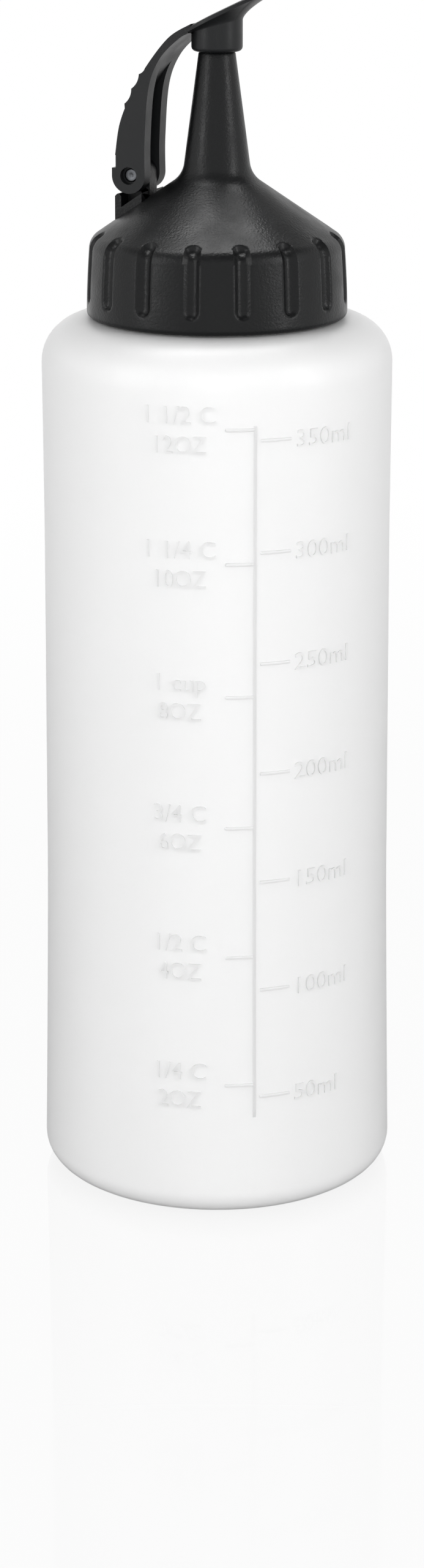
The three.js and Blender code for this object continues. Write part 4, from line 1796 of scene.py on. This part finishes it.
@dataclass
class Studio:
    """A white table and backdrop, soft lamps and the camera. Places are in metres."""

    camera_place: Triple = (0.22780, -0.54995, 0.25368)
    camera_tilt: float = 79.0
    camera_turn: float = 22.5
    lens: float = 80.98
    shift: Point = (-0.00324, -0.25)
    table_radius: float = 4.0
    table_glow: float = 0.95
    table_colour: str = "#a6a6a6"
    table_ior: float = 1.75
    table_gloss: float = 0.06
    mirror_from: float = 0.09
    table_near: float = 0.1
    table_far: float = 0.6
    room_light: float = 0.76
    ceiling_light: float = 0.3
    ceiling_mirrored: float = 0.3
    wall_radius: float = 3.9
    wall_height: float = 3.0
    lamps: tuple[SoftBox, ...] = (
        SoftBox("front, polarised", (0.36, -0.87, 0.2), (0.45, 0.5), 5.3, leaves_highlight=False),
        SoftBox("back, polarised", (-0.36, 0.87, 0.4), (0.6, 0.8), 7.5, leaves_highlight=False),
        SoftBox("overhead card", (-0.06, 0.06, 0.7), (0.5, 0.2), 2.4, lights_matt=False,
                aim=(0.0, 0.0, 0.17)),
        SoftBox("left strip", (-0.58, -0.75, 0.4), (0.14, 0.8), 2.4),
        SoftBox("right strip", (0.94, -0.12, 0.4), (0.14, 0.8), 2.8),
    )

    def table_material(self) -> bpy.types.Material:
        """White acrylic: a faint mirror of the bottle and a soft shadow, on a white that doesn't need lamps.

        Returns:
            The table's material.
        """
        material = bpy.data.materials.new("white acrylic table")
        material.use_nodes = True
        tree = material.node_tree
        tree.nodes.clear()
        rays = add_node(tree, "ShaderNodeLightPath").outputs
        lit = add_node(tree, "ShaderNodeBsdfDiffuse", {"Color": linear_colour(self.table_colour)})
        mirror = add_node(tree, "ShaderNodeBsdfGlossy", {"Color": WHITE, "Roughness": self.table_gloss})
        glow = add_node(tree, "ShaderNodeEmission", {"Color": WHITE, "Strength": 1.0})
        glow_share = add_node(tree, "ShaderNodeMath",
                              {0: rays["Is Camera Ray"], 1: self.table_glow}, operation="MULTIPLY")
        fresnel = add_node(tree, "ShaderNodeFresnel", {"IOR": self.table_ior})
        polish = add_node(tree, "ShaderNodeMapRange",
                          {"Value": fresnel.outputs["Fac"], "From Min": self.mirror_from})
        polished = add_node(tree, "ShaderNodeMixShader", {
            0: polish.outputs["Result"],
            1: glow.outputs["Emission"],
            2: mirror.outputs["BSDF"],
        })
        near = add_node(tree, "ShaderNodeMixShader", {
            0: glow_share.outputs["Value"],
            1: lit.outputs["BSDF"],
            2: polished.outputs["Shader"],
        })
        place = add_node(tree, "ShaderNodeTexCoord").outputs["Object"]
        distance = add_node(tree, "ShaderNodeVectorMath", {0: place}, operation="LENGTH")
        far = add_node(tree, "ShaderNodeMapRange", {
            "Value": distance.outputs["Value"],
            "From Min": self.table_near,
            "From Max": self.table_far,
        }, interpolation_type="SMOOTHSTEP")
        seen = add_node(tree, "ShaderNodeMath",
                        {0: rays["Is Camera Ray"], 1: rays["Is Glossy Ray"]}, operation="MAXIMUM")
        far_share = add_node(tree, "ShaderNodeMath",
                             {0: far.outputs["Result"], 1: seen.outputs["Value"]}, operation="MULTIPLY")
        whole = add_node(tree, "ShaderNodeMixShader", {
            0: far_share.outputs["Value"],
            1: near.outputs["Shader"],
            2: glow.outputs["Emission"],
        })
        add_node(tree, "ShaderNodeOutputMaterial", {"Surface": whole.outputs["Shader"]})
        return material

    def make_table(self) -> None:
        """Lays the round table under the bottle."""
        mesh = bpy.data.meshes.new("table")
        count = 96
        corners = arc_points((0.0, 0.0), self.table_radius, 0.0, 2 * math.pi, count)[:-1]
        mesh.from_pydata([(x, y, 0.0) for x, y in corners], [], [tuple(range(count))])
        mesh.materials.append(self.table_material())
        table = bpy.data.objects.new("table", mesh)
        bpy.context.scene.collection.objects.link(table)

    def wall_material(self) -> bpy.types.Material:
        """White paper wall: white where it is seen or mirrored, as dim as the room where it lights.

        Returns:
            The wall's material.
        """
        material = bpy.data.materials.new("white paper wall")
        material.use_nodes = True
        tree = material.node_tree
        tree.nodes.clear()
        rays = add_node(tree, "ShaderNodeLightPath").outputs
        seen = add_node(tree, "ShaderNodeMath",
                        {0: rays["Is Camera Ray"], 1: rays["Is Glossy Ray"]}, operation="MAXIMUM")
        strength = add_node(tree, "ShaderNodeMapRange",
                            {"Value": seen.outputs["Value"], "To Min": self.room_light, "To Max": 1.0})
        glow = add_node(tree, "ShaderNodeEmission",
                        {"Color": WHITE, "Strength": strength.outputs["Result"]})
        add_node(tree, "ShaderNodeOutputMaterial", {"Surface": glow.outputs["Emission"]})
        return material

    def make_wall(self) -> None:
        """Stands a round white wall at the table's edge."""
        mesh = bpy.data.meshes.new("wall")
        count = 96
        corners = arc_points((0.0, 0.0), self.wall_radius, 0.0, 2 * math.pi, count)[:-1]
        mesh.from_pydata([(x, y, z) for z in (0.0, self.wall_height) for x, y in corners], [],
                         [(i, (i + 1) % count, (i + 1) % count + count, i + count) for i in range(count)])
        mesh.materials.append(self.wall_material())
        wall = bpy.data.objects.new("wall", mesh)
        bpy.context.scene.collection.objects.link(wall)

    def make_world(self) -> None:
        """Makes white surroundings where they are seen, dimmer where they light or are mirrored."""
        world = bpy.data.worlds.new("white room")
        bpy.context.scene.world = world
        world.use_nodes = True
        tree = world.node_tree
        tree.nodes.clear()
        rays = add_node(tree, "ShaderNodeLightPath").outputs
        seen = add_node(tree, "ShaderNodeMath",
                        {0: rays["Is Camera Ray"], 1: rays["Is Transmission Ray"]}, operation="MAXIMUM")
        lighting = add_node(tree, "ShaderNodeMapRange", {
            "Value": rays["Is Glossy Ray"],
            "To Min": self.ceiling_light,
            "To Max": self.ceiling_mirrored,
        })
        strength = add_node(tree, "ShaderNodeMath",
                            {0: seen.outputs["Value"], 1: lighting.outputs["Result"]}, operation="MAXIMUM")
        glow = add_node(tree, "ShaderNodeBackground",
                        {"Color": WHITE, "Strength": strength.outputs["Value"]})
        add_node(tree, "ShaderNodeOutputWorld", {"Surface": glow.outputs["Background"]})

    def make_camera(self) -> None:
        """Places the camera at the photograph's viewing angle, 22.5 degrees round and 11 degrees up."""
        lens = bpy.data.cameras.new("camera")
        lens.lens = self.lens
        lens.sensor_width = 36.0
        lens.shift_x, lens.shift_y = self.shift
        lens.clip_start, lens.clip_end = 0.01, 20.0
        camera = bpy.data.objects.new("camera", lens)
        camera.location = self.camera_place
        camera.rotation_euler = (math.radians(self.camera_tilt), 0.0, math.radians(self.camera_turn))
        bpy.context.scene.collection.objects.link(camera)
        bpy.context.scene.camera = camera

    def build(self) -> None:
        """Sets up the studio."""
        self.make_camera()
        for lamp in self.lamps:
            lamp.build()
        self.make_table()
        self.make_wall()
        self.make_world()
        bpy.context.scene.view_settings.view_transform = "Standard"
        LOG.info("studio: %d lamps", len(self.lamps))


def main() -> None:
    """Builds the bottle, cap, hinge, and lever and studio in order."""
    logging.basicConfig(level=logging.INFO, format="%(message)s")
    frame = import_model()
    lever_joint = next(joint for joint in frame["joints"] if joint["name"] == "lever_open")
    pin_x, _, pin_z = (value / MM for value in lever_joint["pos_m"])

    cap_plastic = MouldedPlastic("black polypropylene, spark-eroded grain", "#090a0b", 0.36,
                                 Grain.SPARK_ERODED, 0.4, 0.05)
    lever_plastic = MouldedPlastic("black polypropylene, satin", "#161718", 0.38, Grain.SATIN, 0.5, 0.02)
    silicone = SoftSilicone()

    Bottle().build(BlownPolyethylene())
    cap = ScrewCap()
    cap.build(cap_plastic, silicone)
    Hinge(cap, pin_x, pin_z).build(cap_plastic, DrawnSteel())
    FlipLever(cap, pin_x, pin_z).build(lever_plastic, silicone)
    Studio().build()


if __name__ == "__main__":
    main()
